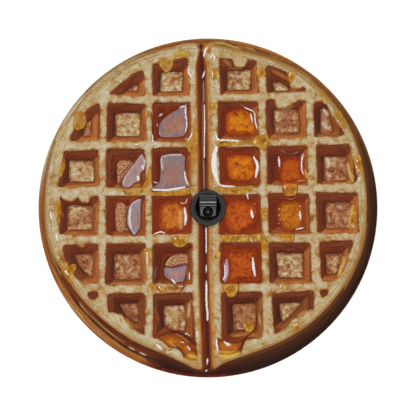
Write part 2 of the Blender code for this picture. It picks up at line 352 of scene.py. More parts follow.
RIB_SYRUP = [
    ((-120, 354, -105, 359, -87, 356, -84, 341, -93, 326, -105, 327, -114, 338)),
    ((-81, 368, -63, 374, -45, 374, -44, 363, -63, 359, -81, 357)),
    ((-314, 231, -296, 225, -290, 210, -296, 192, -314, 186, -321, 195, -320, 219)),
    ((-148, 231, -141, 233, -136, 225, -139, 216, -147, 216, -152, 223)),
    ((-207, 53, -189, 44, -168, 45, -153, 57, -145, 81, -139, 102, -136, 81, -139, 54, -156, 36, -180,
        29, -198, 33)),
    ((-138, 44, -87, 39, -39, 47, -35, 39, -60, 30, -117, 29, -141, 32)),
    ((-54, 159, -39, 171, -33, 189, -26, 186, -24, 147, -30, 117, -39, 129, -48, 138)),
    ((-354, 93, -349, 114, -342, 117, -342, 96, -349, 78, -356, 72)),
    ((-366, 4, -354, 22, -351, -2, -354, -35, -362, -29)),
    ((-85, -69, -69, -66, -50, -70, -51, -86, -66, -94, -80, -90, -86, -80)),
    ((-142, -185, -132, -182, -125, -186, -126, -196, -136, -197)),
    ((-121, -186, -114, -184, -105, -189, -100, -199, -100, -204, -108, -203, -116, -196)),
    ((-82, -188, -72, -185, -55, -183, -60, -191, -72, -198, -81, -201)),
    ((-349, -144, -339, -139, -316, -133, -314, -141, -321, -156, -326, -177, -331, -179, -342, -169,
        -352, -154)),
    ((-153, -101, -145, -95, -136, -104, -139, -134, -150, -131)),
    ((7, 329, 23, 329, 23, 310, 8, 308)),
    ((116, 331, 135, 332, 137, 314, 119, 313)),
    ((191, 326, 208, 327, 210, 316, 203, 303, 194, 303, 190, 311)),
    ((2, 247, 13, 251, 23, 247, 22, 237, 11, 232, 4, 237)),
    ((268, 284, 279, 275, 285, 254, 279, 248, 273, 260)),
    ((301, 237, 316, 231, 331, 201, 326, 189, 314, 207, 304, 225)),
    ((122, 177, 140, 177, 146, 162, 143, 153, 137, 150, 137, 133, 125, 144, 119, 153, 107, 159)),
    ((22, 159, 44, 161, 95, 162, 122, 158, 110, 152, 65, 151, 23, 147)),
    ((17, 50, 50, 48, 86, 51, 108, 53, 95, 39, 62, 32, 23, 39)),
    ((179, 57, 211, 57, 213, 42, 208, 30, 199, 29, 185, 30, 179, 42)),
    ((349, 120, 361, 128, 367, 114, 367, 87, 356, 87, 350, 102)),
    ((331, 111, 338, 105, 349, 72, 346, 60, 337, 81)),
    ((-2, 383, 8, 386, 6, 371, -1, 368)),
    ((122, -61, 134, -62, 143, -83, 141, -101, 134, -110, 127, -104, 128, -86, 122, -74)),
    ((31, -67, 50, -65, 72, -64, 70, -80, 50, -82, 35, -79)),
    ((75, -65, 96, -64, 96, -77, 80, -81)),
    ((102, -65, 122, -62, 123, -76, 105, -78)),
    ((167, -64, 196, -61, 206, -65, 204, -77, 176, -78)),
    ((38, -183, 71, -182, 72, -196, 62, -211, 50, -212, 41, -199)),
    ((164, -188, 182, -182, 194, -191, 182, -194)),
    ((86, -274, 98, -268, 110, -280, 107, -295, 95, -299, 87, -286)),
    ((201, -277, 210, -274, 221, -279, 219, -291, 205, -292)),
    ((337, -47, 343, 4, 353, 4, 352, -35, 346, -49)),
    ((308, -164, 319, -119, 326, -119, 319, -158, 313, -167)),
    ((126, -2, 140, 1, 141, -20, 131, -25)),
    ((14, -105, 29, -104, 29, -119, 17, -122)),
]

# Crumb that hangs over a pocket's wall
LUMPS = [
    ((-352, 39, -351, 29, -343, 20, -326, 16, -315, 21, -311, 26, -303, 14, -288, 14, -281, 24, -272,
        36)),
    ((-314, -78, -309, -88, -301, -94, -294, -88, -292, -78)),
    ((161, 266, 162, 248, 167, 240, 182, 238, 196, 247, 211, 254, 212, 266)),
    ((60, 362, 62, 345, 69, 337, 84, 337, 91, 344, 93, 361)),
    ((200, 308, 196, 296, 199, 287, 212, 285, 225, 289, 229, 302, 217, 314)),
]

# Brush strokes laid over the rest: colour, percentage, half width and line
TOUCHES = [
    ((60, 24, 14), 90, 3.0, (-18, 391, -19, 384)),
    ((182, 152, 90), 62, 13.7, (-104, 345, -96, 339)),
    ((178, 150, 94), 62, 14.3, (-310, 214, -304, 206)),
    ((188, 162, 84), 50, 6.0, (-78, 366, -48, 368)),
    ((200, 122, 52), 60, 10.2, (196, 51, 196, 38)),
    ((190, 178, 200), 92, 3.6, (44, -125, 45, -153, 41, -174)),
    ((192, 138, 60), 55, 6.0, (-33, 210, -35, 129, -38, 60)),
    ((152, 120, 70), 55, 9.0, (70, 349, 80, 346)),
    ((122, 60, 38), 85, 6.0, (-156, -210, -157, -289)),
    ((126, 66, 42), 50, 16.4, (-193, -244, -180, -258)),
    ((222, 166, 112), 60, 6.6, (-66, -8, -65, -47)),
    ((176, 130, 60), 35, 17.9, (-81, -253, -78, -277)),
    ((206, 118, 40), 60, 11.9, (35, -328, 65, -334)),
    ((186, 122, 64), 70, 1.5, (-267, 225, -269, 201, -271, 174)),
    ((128, 66, 34), 80, 1.8, (-131, 252, -122, 257, -116, 263)),
    ((150, 96, 48), 60, 1.5, (-216, 266, -215, 254)),
    ((150, 112, 56), 75, 1.2, (-380, 72, -356, 81, -344, 93)),
    ((150, 74, 48), 65, 3.9, (-287, 90, -282, 85)),
    ((164, 92, 60), 55, 3.0, (-298, 75, -293, 72)),
    ((150, 84, 44), 85, 4.2, (-91, 298, -81, 307, -69, 305)),
    ((190, 96, 40), 75, 2.1, (-99, 236, -95, 238)),
    ((208, 190, 100), 45, 2.7, (-90, 365, -63, 371, -45, 368)),
    ((214, 160, 84), 60, 3.6, (-337, -131, -341, -146)),
    ((98, 46, 22), 75, 2.4, (-357, -140, -347, -158, -337, -176, -329, -185)),
    ((224, 210, 176), 75, 2.4, (-235, -254, -225, -271)),
    ((224, 210, 176), 75, 2.7, (-221, -254, -211, -273)),
    ((220, 204, 160), 70, 2.7, (-207, -257, -197, -280)),
    ((190, 136, 66), 70, 3.6, (-194, -267, -182, -286)),
    ((214, 204, 182), 85, 6.6, (-86, -342, -72, -350)),
    ((70, 40, 24), 75, 1.5, (-96, -344, -81, -334, -63, -343, -57, -359)),
    ((240, 200, 84), 75, 4.5, (-46, -353, -30, -357)),
    ((214, 160, 50), 60, 3.6, (-56, -360, -36, -364)),
    ((96, 50, 24), 75, 1.8, (-114, -307, -87, -298, -60, -307, -45, -325, -36, -346)),
    ((226, 156, 64), 65, 3.3, (-93, -321, -78, -331)),
    ((178, 120, 66), 60, 1.5, (-159, -104, -162, -131, -159, -158)),
    ((214, 170, 104), 65, 1.5, (-152, -100, -145, -116, -145, -140)),
    ((226, 200, 150), 65, 2.7, (-45, -229, -46, -259)),
    ((190, 130, 70), 55, 2.1, (-50, -244, -51, -268)),
    ((154, 84, 38), 65, 2.4, (-127, -237, -120, -259, -117, -277)),
    ((216, 196, 150), 70, 4.5, (-207, -140, -205, -153)),
    ((216, 196, 150), 70, 3.0, (-189, -152, -180, -140)),
    ((166, 92, 44), 60, 2.4, (-349, -8, -345, -23)),
    ((236, 226, 206), 70, 1.2, (-309, -78, -299, -69)),
    ((120, 28, 14), 75, 3.3, (-145, -367, -129, -374, -114, -379)),
    ((112, 26, 14), 60, 3.0, (-114, -384, -57, -397, 2, -401)),
    ((122, 32, 14), 70, 2.7, (-4, -402, 20, -401, 50, -397)),
    ((176, 132, 74), 60, 6.0, (40, 352, 53, 341)),
    ((150, 104, 50), 60, 3.6, (52, 334, 80, 333)),
    ((208, 194, 150), 60, 6.0, (69, 349, 84, 342)),
    ((110, 60, 32), 60, 1.2, (52, 326, 65, 320, 82, 324)),
    ((190, 116, 56), 60, 4.2, (155, 327, 176, 317, 194, 305)),
    ((208, 180, 126), 60, 3.6, (206, 296, 221, 289)),
    ((150, 84, 40), 60, 3.0, (199, 283, 229, 281)),
    ((198, 182, 134), 70, 7.2, (171, 253, 196, 260)),
    ((152, 120, 62), 65, 6.0, (169, 239, 188, 236, 201, 245)),
    ((216, 208, 184), 80, 5.4, (277, 234, 285, 224)),
    ((216, 208, 184), 80, 5.1, (274, 202, 282, 192)),
    ((180, 114, 68), 65, 4.2, (274, 181, 289, 181)),
    ((128, 62, 32), 75, 6.6, (297, 210, 310, 188)),
    ((216, 200, 112), 70, 2.7, (277, 270, 282, 253)),
    ((60, 30, 24), 80, 2.1, (277, 248, 285, 244)),
    ((216, 194, 136), 65, 3.0, (333, 106, 338, 84, 343, 68)),
    ((216, 208, 178), 75, 5.4, (283, 118, 289, 104)),
    ((212, 200, 162), 65, 3.9, (284, 85, 291, 75)),
    ((128, 62, 46), 65, 7.2, (306, 102, 314, 84)),
    ((66, 36, 22), 75, 1.0, (20, 401, 47, 398, 58, 391, 80, 383, 119, 376, 158, 363)),
    ((84, 46, 26), 70, 1.0, (158, 363, 199, 340, 235, 317, 271, 287)),
    ((66, 34, 20), 75, 1.2, (313, 237, 337, 201, 358, 162, 373, 129, 385, 90)),
    ((206, 158, 96), 60, 1.2, (61, 387, 89, 382, 119, 378)),
    ((214, 140, 60), 60, 1.8, (231, 90, 236, 69)),
    ((118, 48, 20), 65, 2.1, (166, 93, 173, 75, 176, 57)),
    ((218, 182, 126), 70, 2.7, (328, -118, 320, -142, 311, -161)),
    ((142, 72, 36), 60, 2.1, (336, -119, 326, -146)),
    ((216, 180, 116), 65, 2.4, (343, 4, 340, -20, 334, -44)),
    ((232, 218, 186), 75, 3.3, (343, -39, 349, -46)),
    ((208, 150, 118), 60, 1.5, (337, 1, 331, -20, 325, -41)),
    ((180, 104, 76), 55, 1.2, (285, -47, 313, -49, 328, -45)),
    ((208, 196, 160), 65, 4.5, (310, 4, 320, 0)),
    ((208, 196, 154), 60, 3.3, (287, -22, 291, -33)),
    ((208, 160, 84), 65, 3.9, (215, -257, 236, -247)),
    ((222, 208, 164), 60, 3.0, (246, -244, 229, -260)),
    ((196, 138, 78), 65, 4.2, (61, -306, 81, -302)),
    ((240, 192, 64), 80, 3.0, (26, -351, 50, -354, 75, -345)),
    ((226, 150, 42), 60, 3.0, (26, -342, 56, -345)),
    ((104, 46, 20), 65, 4.2, (43, -306, 63, -311)),
    ((210, 172, 104), 60, 3.0, (122, -256, 125, -278)),
    ((158, 88, 44), 60, 3.0, (128, -288, 122, -305)),
    ((96, 60, 34), 75, 2.1, (17, -260, 27, -268)),
    ((216, 208, 178), 65, 5.1, (23, -276, 26, -290)),
    ((118, 58, 27), 65, 1.2, (-398, -20, -392, -80, -371, -146, -344, -196, -296, -259, -248, -298,
        -198, -329, -153, -353)),
    ((60, 34, 18), 80, 1.0, (-287, -259, -248, -301, -225, -314, -201, -328, -177, -341)),
    ((196, 150, 84), 65, 2.4, (-366, -176, -344, -211, -317, -244, -296, -265)),
    ((160, 124, 70), 60, 1.2, (-272, -286, -237, -313, -207, -331)),
    ((172, 104, 48), 55, 2.7, (-248, -314, -207, -343, -162, -367)),
    ((214, 206, 178), 85, 2.1, (-189, -333, -177, -339)),
    ((214, 206, 178), 85, 2.1, (-163, -346, -149, -351)),
    ((44, 20, 14), 75, 1.8, (-153, -356, -117, -374, -72, -388, -27, -394)),
    ((146, 82, 38), 45, 1.5, (-398, 10, -396, -26, -389, -74, -371, -128)),
    ((142, 80, 38), 50, 1.2, (-365, 159, -383, 102, -391, 42, -394, -11)),
    ((206, 166, 104), 60, 1.8, (-356, 171, -326, 222, -290, 266, -248, 305)),
    ((150, 104, 50), 55, 1.0, (-275, 275, -225, 317, -171, 347, -117, 366)),
    ((120, 72, 34), 60, 1.2, (-231, 317, -177, 351, -117, 377, -63, 392)),
    ((186, 140, 76), 60, 1.8, (379, -35, 370, -89, 352, -140, 325, -194)),
    ((200, 180, 172), 60, 1.2, (-10, 115, -9, 43)),
    ((198, 176, 150), 60, 1.5, (-11, 302, -10, 254)),
    ((184, 158, 84), 80, 3.0, (-9, 371, -7, 382, 2, 390, 17, 394, 35, 394, 52, 388, 76, 380)),
    ((190, 168, 100), 75, 1.8, (-69, 394, -51, 393, -36, 391, -27, 386)),
    ((226, 130, 30), 80, 1.2, (-12, 371, -9, 379, -1, 386)),
    ((106, 50, 30), 80, 9.0, (-109, -152, -106, -176)),
    ((132, 62, 34), 70, 6.6, (-50, -170, -63, -191, -93, -190)),
    ((176, 190, 214), 85, 2.7, (-116, 221, -110, 224)),
    ((224, 212, 218), 70, 1.0, (-202, 55, -202, 62, -197, 75, -189, 87, -176, 104, -166, 118, -159,
        127)),
    ((206, 200, 206), 75, 1.8, (-164, 20, -177, 13, -184, 5, -188, -7, -190, -29, -189, -40, -181,
        -54, -176, -62)),
    ((150, 146, 168), 55, 2.7, (-163, 16, -164, -2)),
    ((194, 110, 30), 80, 3.3, (-177, 53, -162, 56)),
    ((158, 84, 36), 70, 3.6, (-155, 84, -154, 69)),
    ((184, 74, 24), 70, 2.7, (-187, 13, -180, 21, -168, 26)),
    ((184, 92, 34), 75, 1.2, (-50, -134, -50, -167)),
    ((150, 110, 122), 60, 1.0, (-124, -140, -128, -167)),
    ((226, 190, 126), 75, 1.2, (-100, -136, -95, -125, -87, -118)),
    ((44, 26, 22), 85, 1.8, (-106, -142, -103, -131, -98, -122, -90, -114)),
    ((226, 208, 140), 70, 1.5, (-78, -199, -66, -195)),
    ((84, 34, 26), 85, 3.9, (-90, -293, -63, -301, -42, -314, -30, -328)),
    ((222, 160, 92), 70, 1.0, (-75, -301, -59, -310, -44, -322)),
    ((200, 134, 42), 70, 4.2, (-99, -319, -78, -318)),
    ((206, 176, 62), 80, 5.1, (-45, -352, -30, -355)),
    ((170, 80, 24), 60, 3.0, (-63, -319, -42, -334)),
    ((70, 36, 28), 75, 3.6, (65, -289, 77, -292)),
    ((184, 112, 52), 75, 3.9, (80, -304, 98, -301, 122, -308)),
    ((120, 48, 20), 70, 3.6, (43, -318, 65, -320, 80, -317)),
    ((66, 26, 18), 75, 2.7, (39, -319, 50, -321)),
    ((212, 160, 52), 80, 3.9, (27, -343, 44, -346, 65, -342)),
    ((196, 92, 24), 75, 3.3, (44, -189, 49, -199)),
    ((220, 172, 56), 80, 3.0, (60, -208, 67, -196)),
    ((188, 90, 28), 80, 2.4, (92, -272, 108, -280)),
    ((216, 168, 54), 80, 2.7, (93, -290, 104, -293)),
    ((196, 98, 40), 75, 1.5, (185, 26, 197, 21, 210, 26)),
    ((180, 88, 42), 75, 1.5, (183, -96, 195, -101, 204, -96)),
    ((148, 84, 40), 70, 2.4, (-352, -110, -348, -122, -343, -133)),
    ((192, 138, 68), 55, 1.0, (-12, 260, -13, 207, -12, 147, -11, 90)),
    ((172, 66, 20), 85, 4.8, (180, 56, 184, 34)),
    ((186, 84, 24), 75, 6.0, (178, 84, 182, 62)),
    ((190, 86, 26), 75, 4.2, (183, 59, 199, 57, 219, 64)),
    ((196, 88, 24), 75, 3.6, (226, 96, 230, 73)),
    ((206, 150, 84), 80, 1.8, (215, 65, 231, 66)),
    ((214, 170, 104), 80, 2.1, (232, 91, 236, 76, 241, 68)),
    ((178, 150, 146), 60, 1.5, (172, 140, 182, 132, 196, 127, 205, 128, 215, 134)),
    ((182, 164, 104), 85, 2.7, (-81, 383, -51, 391, -35, 391, -23, 385, -19, 376)),
    ((140, 64, 38), 75, 3.9, (-81, 390, -51, 397, -19, 398)),
    ((136, 58, 34), 75, 3.3, (-16, 397, 2, 399, 17, 400)),
    ((206, 112, 34), 80, 2.7, (-13, 377, -8, 384, 1, 388)),
]

# Amber stains where syrup has soaked the ribs: x, y, size and strength
STAINS = [
    (-32, 177, 39, 0.9),
    (-36, 129, 36, 0.8),
    (-145, 57, 27, 0.9),
    (-87, 36, 45, 0.9),
    (-63, 365, 36, 0.6),
    (-102, 347, 33, 0.6),
    (-311, 207, 33, 0.45),
    (-351, 84, 24, 0.5),
    (8, 326, 33, 0.6),
    (11, 240, 27, 0.55),
    (8, 147, 36, 0.6),
    (65, 159, 45, 0.85),
    (131, 159, 36, 1),
    (65, 45, 48, 0.9),
    (128, 323, 27, 0.6),
    (196, 317, 30, 0.6),
    (277, 266, 24, 0.6),
    (316, 219, 33, 0.6),
    (355, 99, 33, 0.85),
    (196, 48, 30, 1),
    (80, 374, 75, 0.5),
    (8, -2, 24, 0.55),
    (17, -116, 33, 0.55),
    (44, -71, 36, 0.9),
    (86, -71, 30, 0.7),
    (134, -89, 33, 1),
    (185, -70, 33, 0.7),
    (134, -17, 30, 0.7),
    (50, -196, 30, 1),
    (179, -191, 27, 0.6),
    (211, -280, 27, 0.6),
    (35, -343, 42, 0.9),
    (-69, -77, 33, 1),
    (-129, -191, 27, 0.9),
    (-84, -191, 42, 0.8),
    (-27, -349, 42, 0.9),
    (-22, -289, 27, 0.6),
    (-362, -5, 36, 0.6),
    (-344, -146, 36, 0.8),
    (-147, -122, 21, 0.5),
    (-102, -349, 45, 0.6),
    (199, -140, 269, 0.48),
    (140, 266, 209, 0.42),
    (-266, -199, 209, 0.4),
]

# Glints and dark threads: half width, then the line
GLINTS = [
    (1.4, (-54, 244, -54, 226, -51, 209, -51, 195, -55, 180)),
    (1.4, (-72, 237, -62, 242, -50, 247)),
    (1.8, (-115, 222, -110, 225)),
    (1.4, (-121, 201, -120, 195)),
    (1.4, (-117, 181, -115, 176)),
    (1.4, (-55, 165, -48, 164, -41, 171, -38, 182)),
    (2.0, (-135, 44, -99, 43, -54, 50)),
    (1.7, (-56, 90, -53, 68, -45, 53)),
    (1.4, (-110, 123, -87, 127, -60, 127)),
    (1.4, (-112, 120, -109, 90)),
    (1.8, (-128, 62, -120, 59)),
    (1.7, (-45, 340, -46, 323, -39, 311)),
    (1.5, (-131, 349, -116, 354)),
    (1.4, (-133, 175, -132, 163, -127, 155, -118, 152)),
    (1.4, (-131, 143, -116, 147)),
    (1.4, (-180, 156, -172, 152, -164, 154)),
    (3.3, (-157, 103, -155, 93)),
    (1.4, (-154, 121, -151, 111, -151, 100)),
    (4.7, (-168, 75, -166, 67)),
    (1.5, (-48, 24, -53, 12)),
    (1.4, (-66, 13, -56, 10)),
    (1.4, (-145, 228, -143, 225)),
    (3.0, (-56, 1, -53, -20, -55, -41)),
    (1.4, (-184, 4, -187, -20, -184, -47)),
    (1.4, (-130, -63, -114, -57, -101, -61)),
    (2.3, (-78, -71, -77, -76)),
    (3.0, (-377, -9, -374, -24)),
    (1.7, (-364, -59, -359, -78)),
    (1.5, (-359, -116, -354, -122)),
    (3.3, (-341, -150, -334, -159)),
    (1.4, (-149, -99, -145, -110, -146, -137)),
    (3.0, (-86, -170, -79, -180)),
    (1.4, (-45, -154, -44, -172)),
    (1.5, (-118, -186, -113, -196)),
    (1.4, (-72, -189, -61, -187)),
    (1.7, (-56, -298, -45, -304)),
    (1.5, (-27, -289, -26, -308)),
    (2.2, (-65, -319, -57, -323)),
    (2.3, (-49, -331, -42, -340)),
    (4.0, (-122, -327, -111, -337)),
    (1.4, (-100, -345, -87, -343)),
    (1.4, (-108, -385, -104, -386)),
    (2.2, (-7, -389, -2, -388)),
    (1.5, (5, 357, 9, 364, 16, 361, 12, 352)),
    (1.4, (10, 324, 11, 312)),
    (1.4, (82, 244, 96, 237, 111, 231)),
    (1.4, (111, 231, 113, 207, 118, 188)),
    (1.4, (102, 226, 106, 205)),
    (1.8, (17, 180, 24, 164, 44, 162, 78, 160)),
    (6.0, (20, 145, 15, 123, 15, 93, 21, 66)),
    (2.0, (20, 66, 31, 54, 64, 51)),
    (3.2, (109, 122, 118, 102, 114, 73)),
    (2.2, (169, 122, 171, 99)),
    (1.5, (227, 130, 223, 102, 227, 81)),
    (2.0, (182, 56, 185, 45)),
    (1.4, (124, 177, 137, 179)),
    (1.7, (108, 161, 115, 155)),
    (1.8, (196, 324, 195, 314)),
    (1.8, (355, 115, 357, 111)),
    (1.8, (354, 100, 355, 96)),
    (2.3, (360, 72, 362, 65)),
    (1.4, (93, 33, 96, 22)),
    (1.4, (110, 11, 114, 9)),
    (4.3, (103, -6, 107, -23)),
    (2.3, (218, -6, 222, -29)),
    (1.4, (170, -1, 171, -5)),
    (1.4, (169, -16, 170, -20)),
    (1.4, (171, -27, 175, -29)),
    (1.4, (169, -36, 170, -39)),
    (1.4, (171, -47, 173, -50)),
    (1.7, (218, 6, 220, 4)),
    (1.4, (210, -51, 228, -47)),
    (2.0, (120, -63, 122, -70)),
    (1.7, (101, -70, 104, -80)),
    (1.5, (42, -70, 44, -72)),
    (1.4, (82, -73, 85, -75)),
    (1.4, (39, -131, 41, -158, 35, -174)),
    (3.0, (107, -119, 109, -143, 112, -162)),
    (2.0, (44, -185, 45, -188)),
    (1.5, (166, -190, 178, -186)),
    (2.2, (20, -311, 21, -328, 25, -346)),
    (2.5, (38, -318, 49, -330)),
    (2.0, (46, -322, 56, -329)),
    (1.7, (85, -277, 89, -284)),
    (1.7, (-6, -389, -4, -390)),
    (1.7, (13, -388, 16, -388)),
    (1.4, (206, -280, 211, -278, 215, -281)),
    (1.4, (13, -107, 16, -113)),
    (1.4, (71, -287, 77, -289)),
    (2.5, (-1, 385, -7, 375, -10, 361)),
    (1.8, (-8, 327, -13, 311)),
    (1.4, (-9, 248, -8, 195, -9, 139, -8, 119)),
    (1.5, (-5, -45, -4, -108)),
    (1.7, (-4, -136, -4, -153)),
    (2.2, (-4, -174, -4, -225, -2, -244, -1, -270)),
    (2.0, (-1, -358, -2, -373)),
]
THREADS = [
    (1.4, (182, 133, 199, 127, 218, 131)),
    (1.4, (73, -173, 73, -196, 70, -217, 69, -231)),
    (1.5, (67, -236, 70, -238)),
    (2.5, (113, -287, 105, -297, 93, -307, 85, -323, 77, -348)),
    (1.4, (117, -259, 115, -277, 112, -289)),
    (1.4, (210, -49, 201, -55, 206, -69, 205, -87)),
    (1.4, (182, -87, 185, -100, 196, -103, 203, -95)),
    (1.4, (136, -62, 134, -72, 145, -85, 142, -96)),
    (1.4, (73, -62, 70, -83)),
    (1.4, (97, -65, 99, -83)),
    (1.4, (-175, 120, -191, 99, -206, 81, -210, 57, -200, 39, -186, 29)),
    (1.4, (-136, 231, -133, 207, -132, 180, -127, 155)),
    (1.4, (-191, 19, -194, -2, -195, -26, -190, -50, -178, -68)),
    (1.4, (82, 245, 95, 233, 108, 235)),
    (1.4, (27, 145, 65, 139, 117, 148)),
    (1.4, (171, 141, 182, 130, 199, 124, 217, 128, 227, 138)),
    (1.4, (178, 54, 180, 33)),
    (1.4, (214, 57, 212, 30)),
    (1.4, (20, 145, 35, 158, 68, 162)),
    (1.4, (-103, -140, -78, -142, -50, -136)),
    (1.4, (-122, -307, -87, -295, -57, -304, -39, -328)),
    (1.4, (337, 57, 352, 63, 360, 87)),
    (1.4, (-314, 156, -311, 143)),
    (1.4, (58, 105, 80, 102, 89, 90)),
    (1.4, (83, 195, 95, 192)),
    (2.0, (274, 247, 280, 242, 284, 247)),
    (1.4, (180, 30, 196, 25, 214, 30)),
    (1.4, (183, 22, 196, 16, 212, 22)),
    (1.4, (180, -92, 195, -96, 204, -92)),
    (1.4, (182, -100, 195, -106, 205, -99)),
    (1.4, (-124, -185, -117, -196, -108, -207)),
    (1.4, (-103, -188, -99, -199)),
    (1.4, (-54, -185, -63, -196, -72, -203)),
    (1.4, (219, 61, 230, 61)),
    (2.0, (-28, 390, -18, 382, -8, 389)),
    (2.7, (-21, 388, -14, 388)),
    (1.4, (-17, 383, -17, 359, -16, 326)),
]

# The waffle's side, seen past its top face: tones from the face out, where it is lit and on four bearings
LIT_SIDE = [(164, 116, 60), (154, 104, 50), (152, 94, 42), (178, 122, 66)]
PALE_SIDE = [(182, 162, 118), (188, 170, 128), (194, 182, 146), (196, 186, 154)]
DARK_SIDE = [(118, 72, 38), (74, 43, 28), (55, 32, 23), (42, 21, 14)]
LOW_SIDE = [(106, 48, 24), (112, 56, 28), (168, 110, 58), (148, 84, 36)]
RED_SIDE = [(96, 52, 30), (66, 32, 22), (52, 23, 17), (70, 22, 14)]
SIDE_TURNS = [  # tones, degrees anticlockwise from the right, and the cosines between which they take over
    (PALE_SIDE, 143, 0.82, 0.97),
    (DARK_SIDE, 315, -0.30, 0.75),
    (LOW_SIDE, 226, 0.72, 0.94),
    (RED_SIDE, 266, 0.93, 0.985),
]

# Fine lines along the side: colour, percentage, half width, then (degrees anticlockwise from the right, mm)
RIM_LINES = [
    ((50, 24, 14), 95, 1.9, [
        (212, 388), (217, 386), (223, 384.5), (232, 383.5), (238, 386), (243, 386), (249, 385), (254, 383)]),
    ((118, 64, 28), 75, 1.5, [(190, 394), (200, 393), (212, 388)]),
    ((172, 128, 70), 70, 1.8, [(178, 389), (190, 390), (198, 389), (205, 386)]),
    ((128, 66, 32), 55, 4.0, [(205, 381), (215, 378), (224, 374)]),
    ((154, 114, 46), 60, 5.0, [(30, 381), (42, 386), (54, 387), (62, 386), (68, 388)]),
    ((204, 172, 112), 75, 1.3, [(216, 383), (223, 380.5), (229, 380), (234, 379.5), (238, 379.5)]),
    ((196, 132, 72), 55, 1.7, [(200, 399), (210, 396), (220, 392), (230, 391), (240, 393)]),
    ((86, 40, 20), 60, 1.2, [(206, 385), (214, 384), (222, 383), (232, 381), (242, 378)]),
    ((212, 176, 122), 45, 1.5, [(214, 401), (224, 400), (234, 400)]),
    ((128, 66, 30), 70, 1.3, [(157, 397), (170, 395), (180, 395), (188, 394)]),
    ((148, 102, 54), 75, 1.2, [(151, 396), (147, 394), (139, 394), (134, 393)]),
    ((140, 112, 70), 60, 1.1, [(134, 391), (127, 390), (118, 391)]),
    ((88, 66, 32), 70, 1.6, [(137, 403), (130, 404), (122, 403)]),
    ((196, 190, 164), 60, 2.4, [(151, 401), (144, 400), (138, 399)]),
]

# Tones of a pocket's walls, at the rim and at the floor
WALL_TONES = {
    "top": ((126, 62, 32), (100, 45, 27)),
    "left": ((116, 57, 35), (84, 40, 29)),
    "right": ((180, 114, 60), (150, 84, 40)),
    "foot": ((182, 116, 58), (140, 68, 34)),
}
SOAKED_WALL = (140, 50, 18)
SOAKED = {
    "R1r2": 0.2, "R1r3": 0.7, "R2r3": 0.2, "R1r4": 0.9, "R2r4": 0.35, "R1r5": 0.95, "L3r4": 0.85,
    "L3r2": 0.45, "L3r3": 0.35, "L3r5": 0.25, "L2r3": 0.2, "L2r4": 0.4,
}
SHADES = {  # of some pockets' walls
    "L2r1": 1.07, "L1r2": 1.09, "L3r1": 1.06, "L2r6": 0.88, "R2r6": 0.84, "R3r2": 0.90, "L3r5": 0.90,
    "R1r6": 0.88, "L3r6": 0.92, "R3r3": 1.04, "R3r4": 1.05, "R2r2": 1.06, "L1r4": 1.03,
}
CLEAR_TONES = {  # at the middle, then at the edge
    "R1r2": ((214, 134, 28), (176, 88, 20)), "R1r3": ((218, 130, 29), (186, 92, 21)),
    "R2r3": ((188, 92, 30), (142, 52, 22)), "R1r4": ((198, 98, 36), (156, 60, 25)),
    "R2r4": ((198, 126, 36), (154, 76, 24)), "R1r5": ((190, 92, 31), (136, 50, 20)),
    "L3r4": ((206, 124, 48), (152, 66, 26)), "R1r6": ((170, 96, 32), (112, 50, 22)),
    "L3r6": ((186, 112, 37), (136, 68, 26))}
SKY_TONES = {  # at the edge, then at the middle
    "A": ((140, 124, 128), (168, 122, 104)), "B": ((140, 126, 132), (162, 121, 108)),
    "C": ((172, 150, 154), (170, 142, 134)), "D": ((154, 140, 148), (172, 138, 122)),
    "E": ((152, 134, 148), (182, 132, 118))}
TOASTED = {  # how toasted some pockets' floors are
    "L3r1": 0.25, "L2r1": 0.1, "L1r2": 1.1, "L2r2": 0.25, "L1r3": 0.2, "L2r3": 1.0, "L1r4": 0.55,
    "L2r4": 1.0, "L1r5": 0.6, "L2r5": 0.85, "L3r5": 0.9, "L2r6": 1.7, "L3r6": 0.35, "R1r1": 0.35,
    "R2r1": 0.15, "R2r2": 0.75, "R3r2": 0.55, "R3r3": 0.8, "R3r4": 1.3, "R2r5": 0.4, "R3r5": 0.75,
    "R1r6": 1.2, "R2r6": 0.35,
}
USUAL_TOAST = 0.5
DROWNED = {"L3r2", "L3r3", "L3r4", "L3r5", "R1r2", "R1r3", "R2r3", "R1r4", "R2r4", "R1r5"}
DROWNED_FLOOR = (120, 50, 22)
REACH = 16.0  # mm: how far from a shape its distance is worked out
STROKE_SOFT, RIM_SOFT, TOUCH_SOFT = 1.1, 1.0, 1.2  # mm: how soft a brush stroke's edge is


# Distances to painted shapes


def pairs(flat):
    return np.array(flat, float).reshape(-1, 2)


def from_polar(places):
    """(degrees anticlockwise from the right, mm) pairs as x and y."""
    angles, radii = np.array(places, float).T
    return np.column_stack([radii * np.cos(np.radians(angles)), radii * np.sin(np.radians(angles))])


def rounded(points, closed=True, steps=5):
    """A smooth line through the points (a Catmull-Rom spline)."""
    points = pairs(points)
    count = len(points)
    if closed:
        ends = np.vstack([points[-1], points, points[:2]])
    else:
        ends = np.vstack([2 * points[0] - points[1], points, 2 * points[-1] - points[-2]])
        count -= 1
    line = []
    for i in range(count):
        a, b, c, d = ends[i:i + 4]
        for t in np.arange(steps) / steps:
            cubic = 3 * (b - c) + d - a
            line.append(b + 0.5 * t * (c - a + t * (2 * a - 5 * b + 4 * c - d + t * cubic)))
    if not closed:
        line.append(points[-1])
    return np.array(line)


def clipped_corners(points, cut=5.0):
    """An outline with each corner cut twice, so that it's nearly round."""
    points = pairs(points)
    line = []
    for before, here, after in zip(np.roll(points, 1, 0), points, np.roll(points, -1, 0)):
        back = (before - here) / np.linalg.norm(before - here)
        ahead = (after - here) / np.linalg.norm(after - here)
        line += [here + cut * back, here + 0.28 * cut * (back + ahead), here + cut * ahead]
    return np.array(line)


